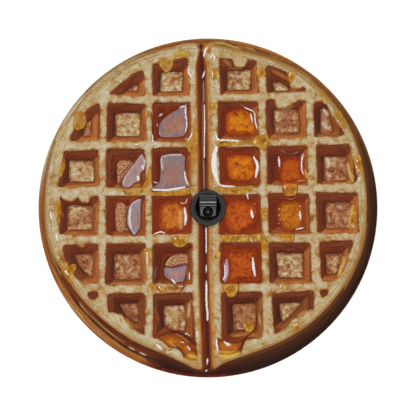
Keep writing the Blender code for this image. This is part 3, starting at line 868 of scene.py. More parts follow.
class Canvas:
    """The places on the cover at which the painting is worked out, as x and y in mm."""

    def __init__(self, places):
        self.places = places
        self.x, self.y = places[:, 0], places[:, 1]

    def far(self):
        return np.full(len(self.places), REACH)

    def near(self, line):
        low, high = line.min(0) - REACH, line.max(0) + REACH
        return np.flatnonzero(((self.places > low) & (self.places < high)).all(1))

    def to_line(self, line, closed):
        """For the places near a line: indices, distances, offsets from it and whether they are inside."""
        index = self.near(line)
        place = self.places[index]
        best = np.full(len(index), np.inf)
        offset = np.zeros((len(index), 2))
        inside = np.zeros(len(index), bool)
        starts, ends = (line, np.roll(line, -1, 0)) if closed else (line[:-1], line[1:])
        for start, end in zip(starts, ends):
            along = end - start
            share = np.clip((place - start) @ along / max(along @ along, 1e-9), 0, 1)
            gap = place - start - share[:, None] * along
            distance = (gap**2).sum(1)
            closer = distance < best
            best[closer] = distance[closer]
            offset[closer] = gap[closer]
            rise = along[1] if along[1] else 1e-9
            crossed = (start[1] > place[:, 1]) != (end[1] > place[:, 1])
            inside ^= crossed & (place[:, 0] < start[0] + (place[:, 1] - start[1]) * along[0] / rise)
        return index, np.sqrt(best), offset, inside

    def signed(self, field, line):
        """Lowers field to the signed distance to a closed line, negative inside. Returns what is inside."""
        index, distance, _, inside = self.to_line(line, True)
        value = np.where(inside, -distance, distance)
        field[index] = np.minimum(field[index], value)
        return index[inside]

    def to_nearest(self, outlines):
        """The signed distance to the nearest of these rounded shapes."""
        field = self.far()
        for flat in outlines:
            self.signed(field, rounded(flat))
        return field

    def within(self, line):
        """The indices of the places inside a closed line, and their distances from it."""
        index, distance, _, inside = self.to_line(line, True)
        return index[inside], distance[inside]

    def stroked(self, lines):
        """How much of any of these thin brush strokes covers each place."""
        cover = np.zeros(len(self.places))
        for half, flat in lines:
            index, laid = self.brushed(half, STROKE_SOFT, rounded(flat, False))
            cover[index] = np.maximum(cover[index], laid)
        return cover

    def brushed(self, half, soft, line):
        """The indices of the places near a line, and how much of a brush stroke covers each."""
        index, distance, _, _ = self.to_line(line, False)
        reach = np.linalg.norm(self.places[index][:, None] - line[[0, -1]], axis=2).min(1)
        thick = half * (0.45 + 0.55 * np.clip(reach / (4 * half + 2), 0, 1))
        return index, smooth_step(thick - distance, -soft, soft)


def pocket_corners(side, column, row, reach):
    """The corners of a pocket or its floor, whose left, right, top and foot are shares of a pitch."""
    left, right, top, foot = reach
    start, pitch = (LEFT_COLUMN_X, LEFT_PITCH) if side == "L" else (RIGHT_COLUMN_X, RIGHT_PITCH)
    corners = []
    for across, down in ((left, top), (right, top), (right, foot), (left, foot)):
        v = row + down
        level = start + pitch * column + abs(pitch) * across
        x = level * (1 + COLUMN_SPREAD * (v - 2)) + COLUMN_LEAN * (v - 2)
        corners.append((x, TOP_ROW_Y - ROW_PITCH * v - ROW_GROWTH * v * v))
    return np.array(corners).ravel()


def pocket_plan():
    """Every pocket as (name, outline, floor outline or None)."""
    odd_pockets, odd_floors = dict(ODD_POCKETS), dict(ODD_FLOORS)
    draws = np.random.default_rng(11)
    full = (-POCKET_HALF, POCKET_HALF, -POCKET_HALF, POCKET_HALF)
    plan = []
    for side in "LR":
        walls = LEFT_WALLS if side == "L" else RIGHT_WALLS
        inner = (full[0] + walls[0], full[1] - walls[1], full[2] + TOP_WALL, full[3] - FOOT_WALL)
        for column in range(3):
            for row in range(6):
                name = f"{side}{3 - column if side == 'L' else column + 1}r{row + 1}"
                if name in MISSING:
                    continue
                stray = np.tile(STRAYS.get(name, (0, 0)), 4)
                outline = pocket_corners(side, column, row, full) + draws.normal(0, POCKET_UNEVEN, 8) + stray
                floor = pocket_corners(side, column, row, inner) + draws.normal(0, FLOOR_UNEVEN, 8) + stray
                if name in odd_pockets:
                    outline, floor = odd_pockets[name], None
                plan.append((name, outline, odd_floors.get(name, floor)))
    return plan


# The painting's fields


def waffle_field(canvas):
    """Signed distance to the outline of the two halves' top faces, negative on them."""
    angle = np.degrees(np.arctan2(canvas.y, canvas.x)) % 360
    outline = rounded(from_polar(WAFFLE_OUTLINE), True, 12)
    bearing = np.degrees(np.arctan2(outline[:, 1], outline[:, 0])) % 360
    order = np.argsort(bearing)
    limit = np.interp(angle, bearing[order], np.hypot(*outline[order].T), period=360)
    radial = np.hypot(canvas.x, canvas.y) - limit
    away = (canvas.x - np.interp(canvas.y, *np.array(GROOVE, float).T)) / np.interp(canvas.y, *NOTCH)
    across = GROOVE_HALF - np.abs(away)
    rounding = np.where(canvas.y > 0, *HALF_ROUNDING)
    corner = np.hypot(np.clip(radial + rounding, 0, None), np.clip(across + rounding, 0, None))
    deep = np.minimum(np.maximum(radial, across) + rounding, 0)
    return corner + deep - rounding, radial, away


def facing(canvas, bearing, low, high):
    """1 where a place lies towards a bearing, seen from the centre, and 0 away from it."""
    angle = np.arctan2(canvas.y, canvas.x) - math.radians(bearing)
    return smooth_step(np.cos(angle), low, high)


def side_tones(canvas, radial):
    """The colour of the waffle's side at each place."""
    distance = np.hypot(canvas.x, canvas.y)
    share = np.clip(radial / np.maximum(COVER_RADIUS * MM - (distance - radial), 4), 0, 1) * 3
    turns = [(tones, facing(canvas, bearing, low, high)) for tones, bearing, low, high in SIDE_TURNS]
    colour = None
    for band, lit in enumerate(LIT_SIDE):
        layer = linear(*lit)
        for tones, turned in turns:
            layer = mixed(layer, linear(*tones[band]), turned)
        colour = layer if colour is None else mixed(colour, layer, smooth_step(share, band - 1, band))
    return colour


def paint_pockets(canvas, plan):
    """Distances to the rims and the floors, the walls' colour, and how toasted and shaded a floor is."""
    rims, floors = canvas.far(), canvas.far()
    toast, shade = np.zeros(len(canvas.x)), np.zeros(len(canvas.x))
    walls = np.tile(linear(120, 62, 38), (len(canvas.x), 1))
    for name, outline, floor in plan:
        inside = canvas.signed(rims, clipped_corners(outline))
        if floor is None:
            continue
        floor_line = clipped_corners(floor, 4.0)
        if name not in DROWNED:
            canvas.signed(floors, floor_line)
        index, distance, offset, within = canvas.to_line(floor_line, True)
        shaded = within & ((offset[:, 1] < -0.5 * distance) | (offset[:, 0] > 0.5 * distance))
        shade[index[shaded]] = smooth_step(distance[shaded], 9.0, 0.0)
        if name in DROWNED:
            walls[np.intersect1d(inside, index[within])] = linear(*DROWNED_FLOOR)
        keep = np.isin(index, inside) & ~within
        index, distance, offset = index[keep], distance[keep], offset[keep]
        to_rim = np.clip(-rims[index], 0, None)
        depth = to_rim / np.maximum(to_rim + distance, 0.1)
        direction = offset / np.maximum(distance, 1e-6)[:, None]
        up = smooth_step(np.abs(direction[:, 1]) - np.abs(direction[:, 0]), -0.22, 0.22)
        tones = {key: mixed(linear(*rim), linear(*foot), depth) for key, (rim, foot) in WALL_TONES.items()}
        high = np.where((direction[:, 1] > 0)[:, None], tones["top"], tones["foot"])
        wide = np.where((direction[:, 0] < 0)[:, None], tones["left"], tones["right"])
        colour = mixed(wide, high, up)
        colour += (linear(*SOAKED_WALL) - colour) * SOAKED.get(name, 0.0)
        walls[index] = colour * SHADES.get(name, 1.0)**2.2
        toast[canvas.near(floor_line)] = TOASTED.get(name, USUAL_TOAST)
    for flat in LUMPS:
        index, distance, _, within = canvas.to_line(rounded(flat), True)
        rims[index] = np.maximum(rims[index], np.where(within, distance, -distance))
    return rims, floors, walls, toast, shade


def paint_pools(canvas):
    """Distances to the three kinds of syrup and their colour."""
    colour = np.tile(linear(200, 110, 28), (len(canvas.x), 1))
    for name, flat in CLEAR_POOLS:
        index, distance = canvas.within(rounded(flat))
        middle, edge = CLEAR_TONES[name]
        colour[index] = mixed(linear(*edge), linear(*middle), smooth_step(distance, 1.0, 13.0))
    for name, flat in SKY_POOLS:
        outline = rounded(flat)
        index, distance = canvas.within(outline)
        low, high = outline.min(0), outline.max(0)
        down = (high[1] - canvas.y[index]) / (high[1] - low[1])
        warm = smooth_step(distance, 3.0, 15.0) * smooth_step(down, 0.0, 0.55) * min(1, (high - low)[0] / 45)
        edge, middle = SKY_TONES[name]
        colour[index] = mixed(linear(*edge), linear(*middle), warm)
    sky, clear = [canvas.to_nearest(flat for _, flat in pools) for pools in (SKY_POOLS, CLEAR_POOLS)]
    return sky, clear, canvas.to_nearest(RIB_SYRUP), colour


def touch_up(canvas):
    """The brush strokes laid over the rest: how much they cover each place, and their colour times that."""
    strokes = [(ink, share, half, max(TOUCH_SOFT, half / 2), flat) for ink, share, half, flat in TOUCHES]
    for ink, share, half, polar in RIM_LINES:
        strokes.append((ink, share, half, RIM_SOFT, from_polar(polar)))
    cover, colours = np.zeros(len(canvas.x)), np.zeros((len(canvas.x), 3))
    for ink, share, half, soft, flat in strokes:
        index, laid = canvas.brushed(half, soft, rounded(flat, False))
        laid = laid * share / 100
        colours[index] = mixed(colours[index], linear(*ink), laid)
        cover[index] += (1 - cover[index]) * laid
    return cover, colours


def painted_fields(places):
    """Every field of the painting at these places, as named arrays of vectors and colours."""
    canvas = Canvas(places)
    face, radial, groove = waffle_field(canvas)
    rims, floors, walls, toast, shade = paint_pockets(canvas, pocket_plan())
    sky, clear, ribs, pools = paint_pools(canvas)
    cover, touches = touch_up(canvas)
    stain = np.zeros(len(places))
    for x, y, size, strength in STAINS:
        stain = np.maximum(stain, strength * np.exp(-((canvas.x - x) ** 2 + (canvas.y - y) ** 2) / size**2))
    distance = np.maximum(np.hypot(canvas.x, canvas.y), 1)
    return {
        "outlines": np.column_stack([face, rims, floors]),
        "syrups": np.column_stack([sky, clear, ribs]),
        "strokes": np.column_stack([canvas.stroked(GLINTS), canvas.stroked(THREADS), groove]),
        "floors": np.column_stack([toast, canvas.to_nearest(DRY_PATCHES), radial]),
        "tints": np.column_stack([shade, stain, cover]),
        "touches": touches,
        "ring": np.column_stack([canvas.x / distance, canvas.y / distance, distance]),
        "walls": walls,
        "pools": pools,
        "side": side_tones(canvas, radial),
    }


# The printed panel


def panel_places():
    """The flat face's lattice: rings of squares, mapped to circles. Returns points (m) and faces."""
    steps = np.arange(-RINGS, RINGS + 1)
    a, b = [grid.ravel().astype(float) for grid in np.meshgrid(steps, steps, indexing="ij")]
    ring = np.maximum(np.abs(a), np.abs(b))
    safe_a, safe_b = np.where(a == 0, 1, a), np.where(b == 0, 1, b)
    wide = np.abs(a) >= np.abs(b)
    angle = np.where(wide, math.pi / 4 * b / safe_a + np.where(a < 0, math.pi, 0),
                     math.pi / 2 - math.pi / 4 * a / safe_b + np.where(b < 0, math.pi, 0))
    flat_radius = COVER_RADIUS - SHOULDER
    radius = HOLE_RADIUS + (ring - HOLE_RINGS) * (flat_radius - HOLE_RADIUS) / (RINGS - HOLE_RINGS)
    side = 2 * RINGS + 1
    corner = np.arange(side * side).reshape(side, side)
    quads = np.column_stack([grid.ravel() for grid in (
        corner[:-1, :-1], corner[1:, :-1], corner[1:, 1:], corner[:-1, 1:])])
    quads = quads[(ring[quads] >= HOLE_RINGS).all(1)]
    used, places = np.unique(quads, return_inverse=True)
    angle, radius, ring = angle[used], radius[used], ring[used]
    return ring_of(radius, FACE_Z, angle), places.reshape(quads.shape), ring, angle


def ordered(ring, angle, which):
    """The indices of one ring's points, in the order of their angle."""
    members = np.flatnonzero(ring == which)
    return members[np.argsort(angle[members] % math.tau)]


def strip(upper, lower):
    """Quads between two closed rings of as many points, the second one outside or below the first."""
    return np.column_stack([upper, lower, np.roll(lower, -1), np.roll(upper, -1)])


def zipped(many, few, points):
    """Triangles between a ring of many points and one of few, both in the order of their angle."""
    turn = [np.arctan2(points[ring][:, 1], points[ring][:, 0]) % math.tau for ring in (many, few)]
    faces = []
    j = 0
    for i in range(len(many)):
        after = (i + 1) % len(many)
        faces.append((many[i], few[j % len(few)], many[after]))
        ahead = turn[0][after] if after else math.tau
        while j < len(few) and ahead > turn[1][j] + math.pi / len(few):
            faces.append((few[j % len(few)], few[(j + 1) % len(few)], many[after]))
            j += 1
    return faces


def add_piece(name, points, faces, material, replaced=()):
    mesh = bpy.data.meshes.new(name)
    mesh.from_pydata([tuple(point) for point in points], [], [tuple(face) for face in faces])
    mesh.validate()
    mesh.materials.append(material)
    mesh.shade_smooth()
    obj = bpy.data.objects.new(name, mesh)
    bpy.context.scene.collection.objects.link(obj)
    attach(obj, "root")
    if replaced:
        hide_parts(*replaced)
    return obj


def write_fields(mesh, fields):
    for name, values in fields.items():
        layer = mesh.attributes.new(name, "FLOAT_VECTOR", "POINT")
        layer.data.foreach_set("vector", values.astype(np.float32).ravel())


def cloth_grain(g):
    """The faint weave that shows through ink on coated cloth."""
    g.bump(g.noise(g.place(), 1400.0, 2.0), 0.00004, 0.35)


def printed_vinyl():
    """The waffle as ink on coated cloth."""
    g = Graph("printed_waffle")
    mm = g.place((MM, MM, MM))
    face, rim, floor = g.parts("outlines")
    sky, clear, ribs = g.parts("syrups")
    glints, threads, groove = g.parts("strokes")
    toast, patch, radial = g.parts("floors")
    shade, stain, cover = g.parts("tints")

    wobble = (g.noise(mm, 0.11, 3.0, 0.6) - 0.5) * 5.0
    ragged = wobble + (g.noise(mm, 0.035, 2.0) - 0.5) * 7.0
    fine = g.noise(mm, 0.30, 3.0, 0.62)
    blots = g.noise(mm, 0.050, 4.0, 0.62, 0.5)
    mottle = blots * 0.72 + fine * 0.28
    contours = g.noise(g.stretched(g.attribute("ring"), (4.0, 4.0, 0.30)), 1.0, 3.0, 0.55, 0.3)

    side = paint_side(g, contours, fine, radial, wobble)
    side = paint_groove(g, side, mm, groove, radial, wobble)
    top = paint_top(g, mm, mottle, fine, contours, radial, face, groove, rim, stain, ragged)
    colour = g.blend(side, top, (face + ragged * 0.3).step(1.2, -1.2))
    in_pocket = (rim + ragged * 0.55).step(1.2, -1.2)
    colour = paint_walls(g, colour, mm, rim, floor, in_pocket, fine, ragged)
    colour = paint_floors(g, colour, mm, floor, toast, patch, shade, in_pocket, fine, ragged)
    colour = paint_clear_pools(g, colour, mm, clear, in_pocket, fine, wobble)
    colour = paint_rib_syrup(g, colour, mm, ribs, fine, wobble)
    colour = paint_sky_pools(g, colour, mm, sky, wobble)
    colour = g.blend(colour, (0.0, 0.0, 0.0, 1.0), cover)
    colour = g.blend(colour, g.attribute("touches"), 1.0, "ADD")

    colour = g.blend(colour, tone(70, 32, 20), (threads + (fine - 0.5) * 0.6).step(0.30, 0.8) * 0.8)
    shine = g.ramp(fine, [(0.42, (216, 204, 210)), (0.50, (250, 248, 250))])
    colour = g.blend(colour, shine, (glints + (fine - 0.5) * 0.7).step(0.30, 0.70))
    speck = g.ramp(g.noise(mm, 0.45, 2.0, 0.6), [
        (0.32, (190, 176, 166)), (0.5, (238, 235, 231)), (0.66, (255, 255, 255))])
    colour = g.gain(g.tinted(colour, speck), 1.065)

    cloth_grain(g)
    shoulder = g.parts("ring")[2].step(388.0, 402.0)
    return g.finish(colour, g.noise(mm, 0.02) * 0.12 + shoulder * 0.42 + 0.44, 0.08)


def paint_side(g, contours, fine, radial, wobble):
    """The waffle's side, with its layers as fine lines that follow the rim."""
    layers = g.ramp(contours * 0.7 + fine * 0.3, [
        (0.36, (176, 160, 146)), (0.46, (216, 208, 200)), (0.55, (232, 228, 220)), (0.66, (255, 248, 228))])
    side = g.gain(g.tinted(g.attribute("side"), layers), 1.28)
    crease = abs(radial - 2.6 + wobble * 0.35).step(2.2, 0.5) * contours.step(0.38, 0.50)
    side = g.blend(side, tone(78, 40, 20), crease * 0.60)
    second = abs(radial - 10.5 + wobble * 0.5).step(1.6, 0.4) * contours.step(0.56, 0.44)
    return g.blend(side, tone(58, 30, 18), second * 0.55)


def paint_groove(g, colour, mm, groove, radial, wobble):
    """The valley between the halves: a dark trough between a steep bank and a golden one."""
    x = groove + wobble * 0.30
    channel = g.ramp((x + 24.0) * (1 / 48), [
        (0.00, (186, 138, 78)), (0.19, (164, 100, 46)), (0.26, (134, 70, 34)), (0.36, (112, 50, 30)),
        (0.48, (100, 44, 26)), (0.56, (78, 32, 24)), (0.63, (106, 50, 30)), (0.70, (150, 82, 38)),
        (0.79, (190, 120, 50)), (0.89, (196, 140, 68)), (1.00, (198, 154, 90))])
    runs = g.noise(g.stretched(mm, (0.50, 0.014, 0.1)), 1.0, 3.0, 0.6)
    brush = g.ramp(runs, [(0.34, (176, 160, 152)), (0.5, (228, 220, 214)), (0.68, (255, 252, 240))])
    channel = g.gain(g.tinted(channel, brush), 1.22)
    notch = radial.step(-12.0, 0.0)
    channel = g.blend(channel, tone(50, 20, 14), notch * abs(x).step(8.0, 3.0) * 0.85)
    return g.blend(colour, channel, abs(x + wobble * 0.4).step(27.0, 14.5) * radial.step(3.0, -5.0))


def paint_top(g, mm, mottle, fine, contours, radial, face, groove, rim, stain, ragged):
    """The ribs and the rim: pale along their middle, toasted at their edges, golden towards the rim."""
    level = mottle - rim.step(6.5, 0.0) * 0.085 + 0.034
    crumb = g.ramp(level, [
        (0.34, (136, 84, 38)), (0.40, (172, 120, 64)), (0.46, (192, 156, 102)), (0.51, (201, 180, 136)),
        (0.56, (204, 191, 160)), (0.66, (214, 209, 192))])
    lined = g.ramp(contours * 0.32 + mottle * 0.68 - rim.step(6.0, 0.0) * 0.05 + 0.012, [
        (0.36, (146, 100, 46)), (0.42, (178, 144, 82)), (0.48, (194, 171, 119)), (0.53, (203, 189, 149)),
        (0.64, (214, 209, 190))])
    top = g.blend(crumb, lined, (radial + ragged).step(-36.0, -18.0))
    contour = abs(radial + 12.5 + ragged * 0.45).step(1.6, 0.4) * contours.step(0.40, 0.52)
    top = g.blend(top, tone(140, 98, 54), contour * 0.55)
    amber = g.ramp(mottle, [(0.38, (158, 100, 34)), (0.5, (188, 136, 58)), (0.62, (214, 178, 104))])
    top = g.blend(top, amber, (stain + (fine - 0.5) * 1.2).step(0.25, 0.95) * 0.75)
    east, north, _ = g.parts("ring")
    tan = (radial + ragged * 0.6).step(-10.0, -1.0) * (north * 0.6 - east * 0.8).step(0.99, 0.86)
    top = g.blend(top, tone(158, 114, 56), tan * 0.7)
    bank = g.least((groove + ragged * 0.5).step(25.0, 18.0), groove.step(4.0, 12.0)) + g.least(
        (groove - ragged * 0.4).step(-19.0, -15.0), groove.step(-4.0, -12.0))
    top = g.blend(top, g.ramp(mottle * 0.5 + fine * 0.5, [
        (0.38, (158, 98, 36)), (0.5, (192, 140, 64)), (0.62, (214, 184, 122))]), bank * 0.85)
    pores = g.noise(mm, 0.62, 2.0, 0.7)
    top = g.tinted(top, g.ramp(pores, [
        (0.34, (188, 172, 158)), (0.48, (238, 236, 232)), (0.66, (255, 255, 255))]))
    top = g.blend(top, tone(170, 116, 60), (face + ragged * 0.5).step(-5.0, 0.0) * 0.6)
    toasted_edge = (rim + ragged * 0.55).step(3.4, 0.4) * mottle.step(0.60, 0.42)
    return g.gain(g.blend(top, tone(150, 90, 46), toasted_edge * 0.75), 1.13)


def paint_walls(g, colour, mm, rim, floor, in_pocket, fine, ragged):
    """The pockets' walls, brushed along their rims and darker towards the floor."""
    along = g.join(rim * 0.36, g.split(mm)[0] * 0.03, g.split(mm)[1] * 0.03)
    brush = g.ramp(g.noise(along, 1.0, 3.0, 0.6) * 0.7 + fine * 0.3, [
        (0.36, (176, 158, 150)), (0.5, (226, 220, 214)), (0.64, (255, 252, 244))])
    wall = g.gain(g.tinted(g.attribute("walls"), brush), 1.26)
    wall = g.blend(wall, tone(62, 28, 20), (floor + ragged * 0.5).step(6.5, 0.5) * 0.46)
    return g.blend(colour, wall, in_pocket)


def paint_floors(g, colour, mm, floor, toast, patch, shade, in_pocket, fine, ragged):
    """The pockets' floors: pale crumb, or toasted and speckled, in shadow along the top and the left."""
    lumps = g.noise(mm, 0.095, 3.0, 0.62, 0.4) * 0.72 + fine * 0.28
    cream = g.ramp(lumps, [
        (0.36, (140, 82, 46)), (0.43, (170, 120, 78)), (0.49, (188, 155, 108)), (0.55, (200, 181, 140)),
        (0.64, (216, 208, 180))])
    pink = g.ramp(lumps, [
        (0.36, (108, 56, 36)), (0.44, (142, 84, 56)), (0.52, (168, 110, 74)), (0.60, (190, 142, 100)),
        (0.70, (210, 182, 140))])
    drift = g.noise(mm, 0.040, 2.0) - 0.5
    browned = toast + drift * 2.4 + (floor + 6.0).step(0.0, 6.0) * 0.35
    crumb = g.blend(cream, pink, browned.step(0.35, 0.75))
    crumb = g.blend(crumb, tone(116, 60, 40), (shade + drift * 0.6).step(0.15, 1.0) * 0.62)
    colour = g.blend(colour, crumb, g.least((floor + ragged * 0.5).step(1.6, -1.6), in_pocket))
    pores = g.ramp(g.noise(mm, 0.30, 2.0, 0.6), [
        (0.38, (120, 64, 44)), (0.45, (168, 112, 80)), (0.54, (186, 136, 100)), (0.64, (208, 168, 128))])
    return g.blend(colour, pores, (patch + ragged * 0.2).step(1.2, -1.2))


def paint_clear_pools(g, colour, mm, clear, in_pocket, fine, wobble):
    """Syrup over a floor, red at its edge and lit orange from within."""
    glaze = (clear + wobble).step(13.0, 0.0) * in_pocket
    colour = g.blend(colour, tone(132, 46, 16), glaze * 0.72)
    cloud = g.noise(mm, 0.075, 4.0, 0.62, 0.9) * 0.8 + fine * 0.2
    glow = g.ramp(cloud, [
        (0.36, (190, 120, 84)), (0.45, (224, 196, 176)), (0.53, (246, 238, 222)), (0.64, (255, 255, 236))])
    glow = g.gain(g.tinted(g.attribute("pools"), glow), 1.06)
    glow = g.blend(glow, tone(138, 56, 18), g.cell_edges(mm, 0.06).step(0.05, 0.0) * 0.35)
    return g.blend(colour, glow, (clear + wobble * 0.6).step(2.2, -2.2))


def paint_rib_syrup(g, colour, mm, ribs, fine, wobble):
    """A thin film of syrup: gold, streaked downwards, with a dark edge."""
    runs = g.noise(g.stretched(mm, (0.10, 0.06, 0.1)), 1.0, 3.0, 0.6)
    honey = g.ramp(runs * 0.7 + fine * 0.3 + ribs * 0.010, [
        (0.28, (120, 64, 12)), (0.38, (166, 106, 22)), (0.47, (192, 136, 34)), (0.55, (212, 164, 58)),
        (0.64, (242, 220, 150))])
    edge = ribs + wobble * 0.7
    colour = g.blend(colour, honey, edge.step(1.0, -2.0) * 0.88)
    return g.blend(colour, tone(112, 60, 26), abs(edge + 0.3).step(1.5, 0.2) * (fine.step(0.40, 0.60)) * 0.7)


def paint_sky_pools(g, colour, mm, sky, wobble):
    """Pools that mirror a pale sky, with a dark outline."""
    sheen = g.noise(g.stretched(mm, (0.10, 0.05, 0.1)), 1.0, 4.0, 0.6)
    ink = g.tinted(g.attribute("pools"), g.ramp(sheen, [
        (0.36, (226, 216, 216)), (0.5, (240, 238, 240)), (0.64, (255, 255, 255))]))
    edge = sky + wobble * 0.3
    colour = g.blend(colour, tone(104, 38, 18), abs(edge - 1.8).step(3.4, 1.0) * 0.75)
    return g.blend(colour, g.gain(ink, 1.12), edge.step(0.7, -0.7))


def backing_cloth():
    """The cover's inner face: a fine knitted backing."""
    g = Graph("backing_cloth")
    knit = g.noise(g.place((900.0, 450.0, 900.0)), 1.0, 2.0)
    g.bump(knit, 0.0002, 0.5)
    return g.finish(g.ramp(knit, [(0.35, (38, 37, 36)), (0.65, (62, 60, 58))]), 0.85, 0.2)


def shoulder_point(radius, bend):
    """A point of the panel's rounded edge, at an angle up from its outermost line."""
    return (COVER_RADIUS - SHOULDER + radius * math.cos(bend), FACE_Z - SHOULDER + radius * math.sin(bend))


def printed_panel():
    """The printed face, its rounded edge, its backing cloth and the hole's edge, as one mesh."""
    points, faces, ring, angle = panel_places()
    outer = ordered(ring, angle, RINGS)
    hole = ordered(ring, angle, HOLE_RINGS)
    turn = angle[outer] % math.tau
    bends = [math.pi / 2 * (1 - i / SHOULDER_STEPS) for i in range(1, SHOULDER_STEPS + 1)]
    profile = [shoulder_point(SHOULDER, bend) for bend in bends] + [(COVER_RADIUS, SEAM_Z)]
    outside_rings = len(profile)
    profile.append((COVER_RADIUS - VINYL, SEAM_Z))
    profile += [shoulder_point(SHOULDER - VINYL, bend) for bend in (0, math.pi / 4, math.pi / 2)]
    stack, rows = [points], [outer]
    for radius, z in profile:
        rows.append(np.arange(len(turn)) + sum(map(len, stack)))
        stack.append(ring_of(radius, z, turn))
    hole_back = np.arange(len(hole)) + sum(map(len, stack))
    stack.append(ring_of(HOLE_RADIUS, FACE_Z - VINYL, angle[hole] % math.tau))
    points = np.vstack(stack)
    strips = [strip(upper, lower) for upper, lower in zip(rows, rows[1:])] + [strip(hole_back, hole)]
    face_lists = [tuple(map(int, face)) for block in [faces] + strips for face in block]
    face_lists += zipped(rows[-1], hole_back, points)
    printed_faces = len(faces) + outside_rings * len(turn)
    obj = add_piece("waffle_print", points, face_lists, printed_vinyl(), ["front_panel"])
    mark_backing(obj.data, printed_faces)
    write_fields(obj.data, painted_fields(points[:, :2] * MM))
    distance = np.hypot(points[:, 0], points[:, 1])
    print_reach = distance + FACE_Z - points[:, 2]
    lining_reach = distance + points[:, 2] - FACE_Z
    lay_out(obj.data, points, printed_faces, print_reach, lining_reach)


def lay_out(mesh, points, printed_faces, print_reach, lining_reach):
    """A map for baking: the print fills the square as a disc, and the lining is a small disc in a corner."""
    turn = np.arctan2(points[:, 1], points[:, 0])
    way = np.column_stack([np.cos(turn), np.sin(turn)])
    shown = 0.5 + 0.49 * way * (print_reach / print_reach.max())[:, None]
    hidden = 0.07 + 0.06 * way * (lining_reach / lining_reach.max())[:, None]
    corners = np.zeros(len(mesh.loops), np.int32)
    mesh.loops.foreach_get("vertex_index", corners)
    counts = np.zeros(len(mesh.polygons), np.int32)
    mesh.polygons.foreach_get("loop_total", counts)
    printed = np.repeat(np.arange(len(counts)) < printed_faces, counts)
    places = np.where(printed[:, None], shown[corners], hidden[corners])
    mesh.uv_layers.new(name="OFBake").uv.foreach_set("vector", places.astype(np.float32).ravel())


# The cover's wall, its turned-in back edge and the stitching

AROUND = 720  # points round the wall
WALL_TOP_Z = SEAM_Z - 0.0003  # just clear of the panel
SEAM_RIPPLE = 0.00012
WALL_RIPPLE = 0.00055
WALL_LEAN = 0.0007
SEAM_FADE = 0.012  # how fast the ripples die out below the seam and above the foot
FOOT_FADE = 0.015
SEAM_PROUD = 0.0012
SEAM_HEIGHT = 0.010
BACK_SHOULDER = 0.030
MOUTH_RADIUS = 0.306
BEAD_RADIUS = 0.006
BEAD_PULL = 0.0012  # how far the gathers draw the elastic edge in
GATHER_RISE = 0.0065
STITCH_PITCH = 0.0062
STITCH_LENGTH = 0.0044
STITCH_HALF_WIDTH = 0.0005
STITCH_FLATNESS = 0.8
STITCH_PROUD = 0.0001
JOIN_ANGLE = math.radians(-90)  # where the wall's ends are sewn together
JOIN_HALF_WIDTH = 0.011
JOIN_PROUD = 0.0008
CRUST = (156, 104, 56)
WALL_FADE = 0.09  # how far below the seam the print's own tones turn into the crust's


def waves(turn, parts):
    """A sum of sines round the cover, of amplitude 1 in all: parts are (count, phase, share)."""
    return sum(share * np.sin(count * turn + phase) for count, phase, share in parts)


def pucker(turn):
    """The small ripples that stitching draws into cloth."""
    return waves(turn, [(157, 0.3, 0.40), (203, 1.9, 0.30), (98, 4.1, 0.20), (271, 2.2, 0.10)])


def slack(turn):
    """The broad waves of cloth that isn't quite tight."""
    return waves(turn, [(5, 0.8, 0.35), (9, 2.7, 0.30), (14, 5.0, 0.20), (23, 1.1, 0.15)])


def join_rise(turn):
    """How far the wall stands proud where its ends overlap."""
    arc = np.abs((turn - JOIN_ANGLE + math.pi) % math.tau - math.pi) * COVER_RADIUS
    return JOIN_PROUD * smooth_step(arc, JOIN_HALF_WIDTH + 0.0015, JOIN_HALF_WIDTH)


def wall_radius(turn, z):
    """The outer radius of the wall at a height."""
    from_seam = SEAM_Z - SEAM_HEIGHT - z
    height = SEAM_Z - SEAM_HEIGHT - BAND_FOOT_Z
    middle = np.sin(math.pi * np.clip(from_seam / height, 0, 1))
    near_seam = math.exp(-max(from_seam, 0.0) / SEAM_FADE)
    near_foot = math.exp(-(z - BAND_FOOT_Z) / FOOT_FADE)
    ripple = WALL_RIPPLE * (near_seam + 0.7 * near_foot) * pucker(turn)
    lean = WALL_LEAN * middle * (slack(turn + 1.3 * z) - 0.6)
    return COVER_RADIUS + ripple + lean + join_rise(turn)


def ring_of(radius, z, turn):
    return np.column_stack([radius * np.cos(turn), radius * np.sin(turn), np.broadcast_to(z, turn.shape)])


def lofted(rows):
    """Points and quads of a closed sleeve through rings of points, the last ring joined to the first."""
    count = len(rows[0])
    indices = [np.arange(count) + i * count for i in range(len(rows))]
    faces = [strip(upper, lower) for upper, lower in zip(indices, indices[1:] + indices[:1])]
    return np.vstack(rows), np.vstack(faces)


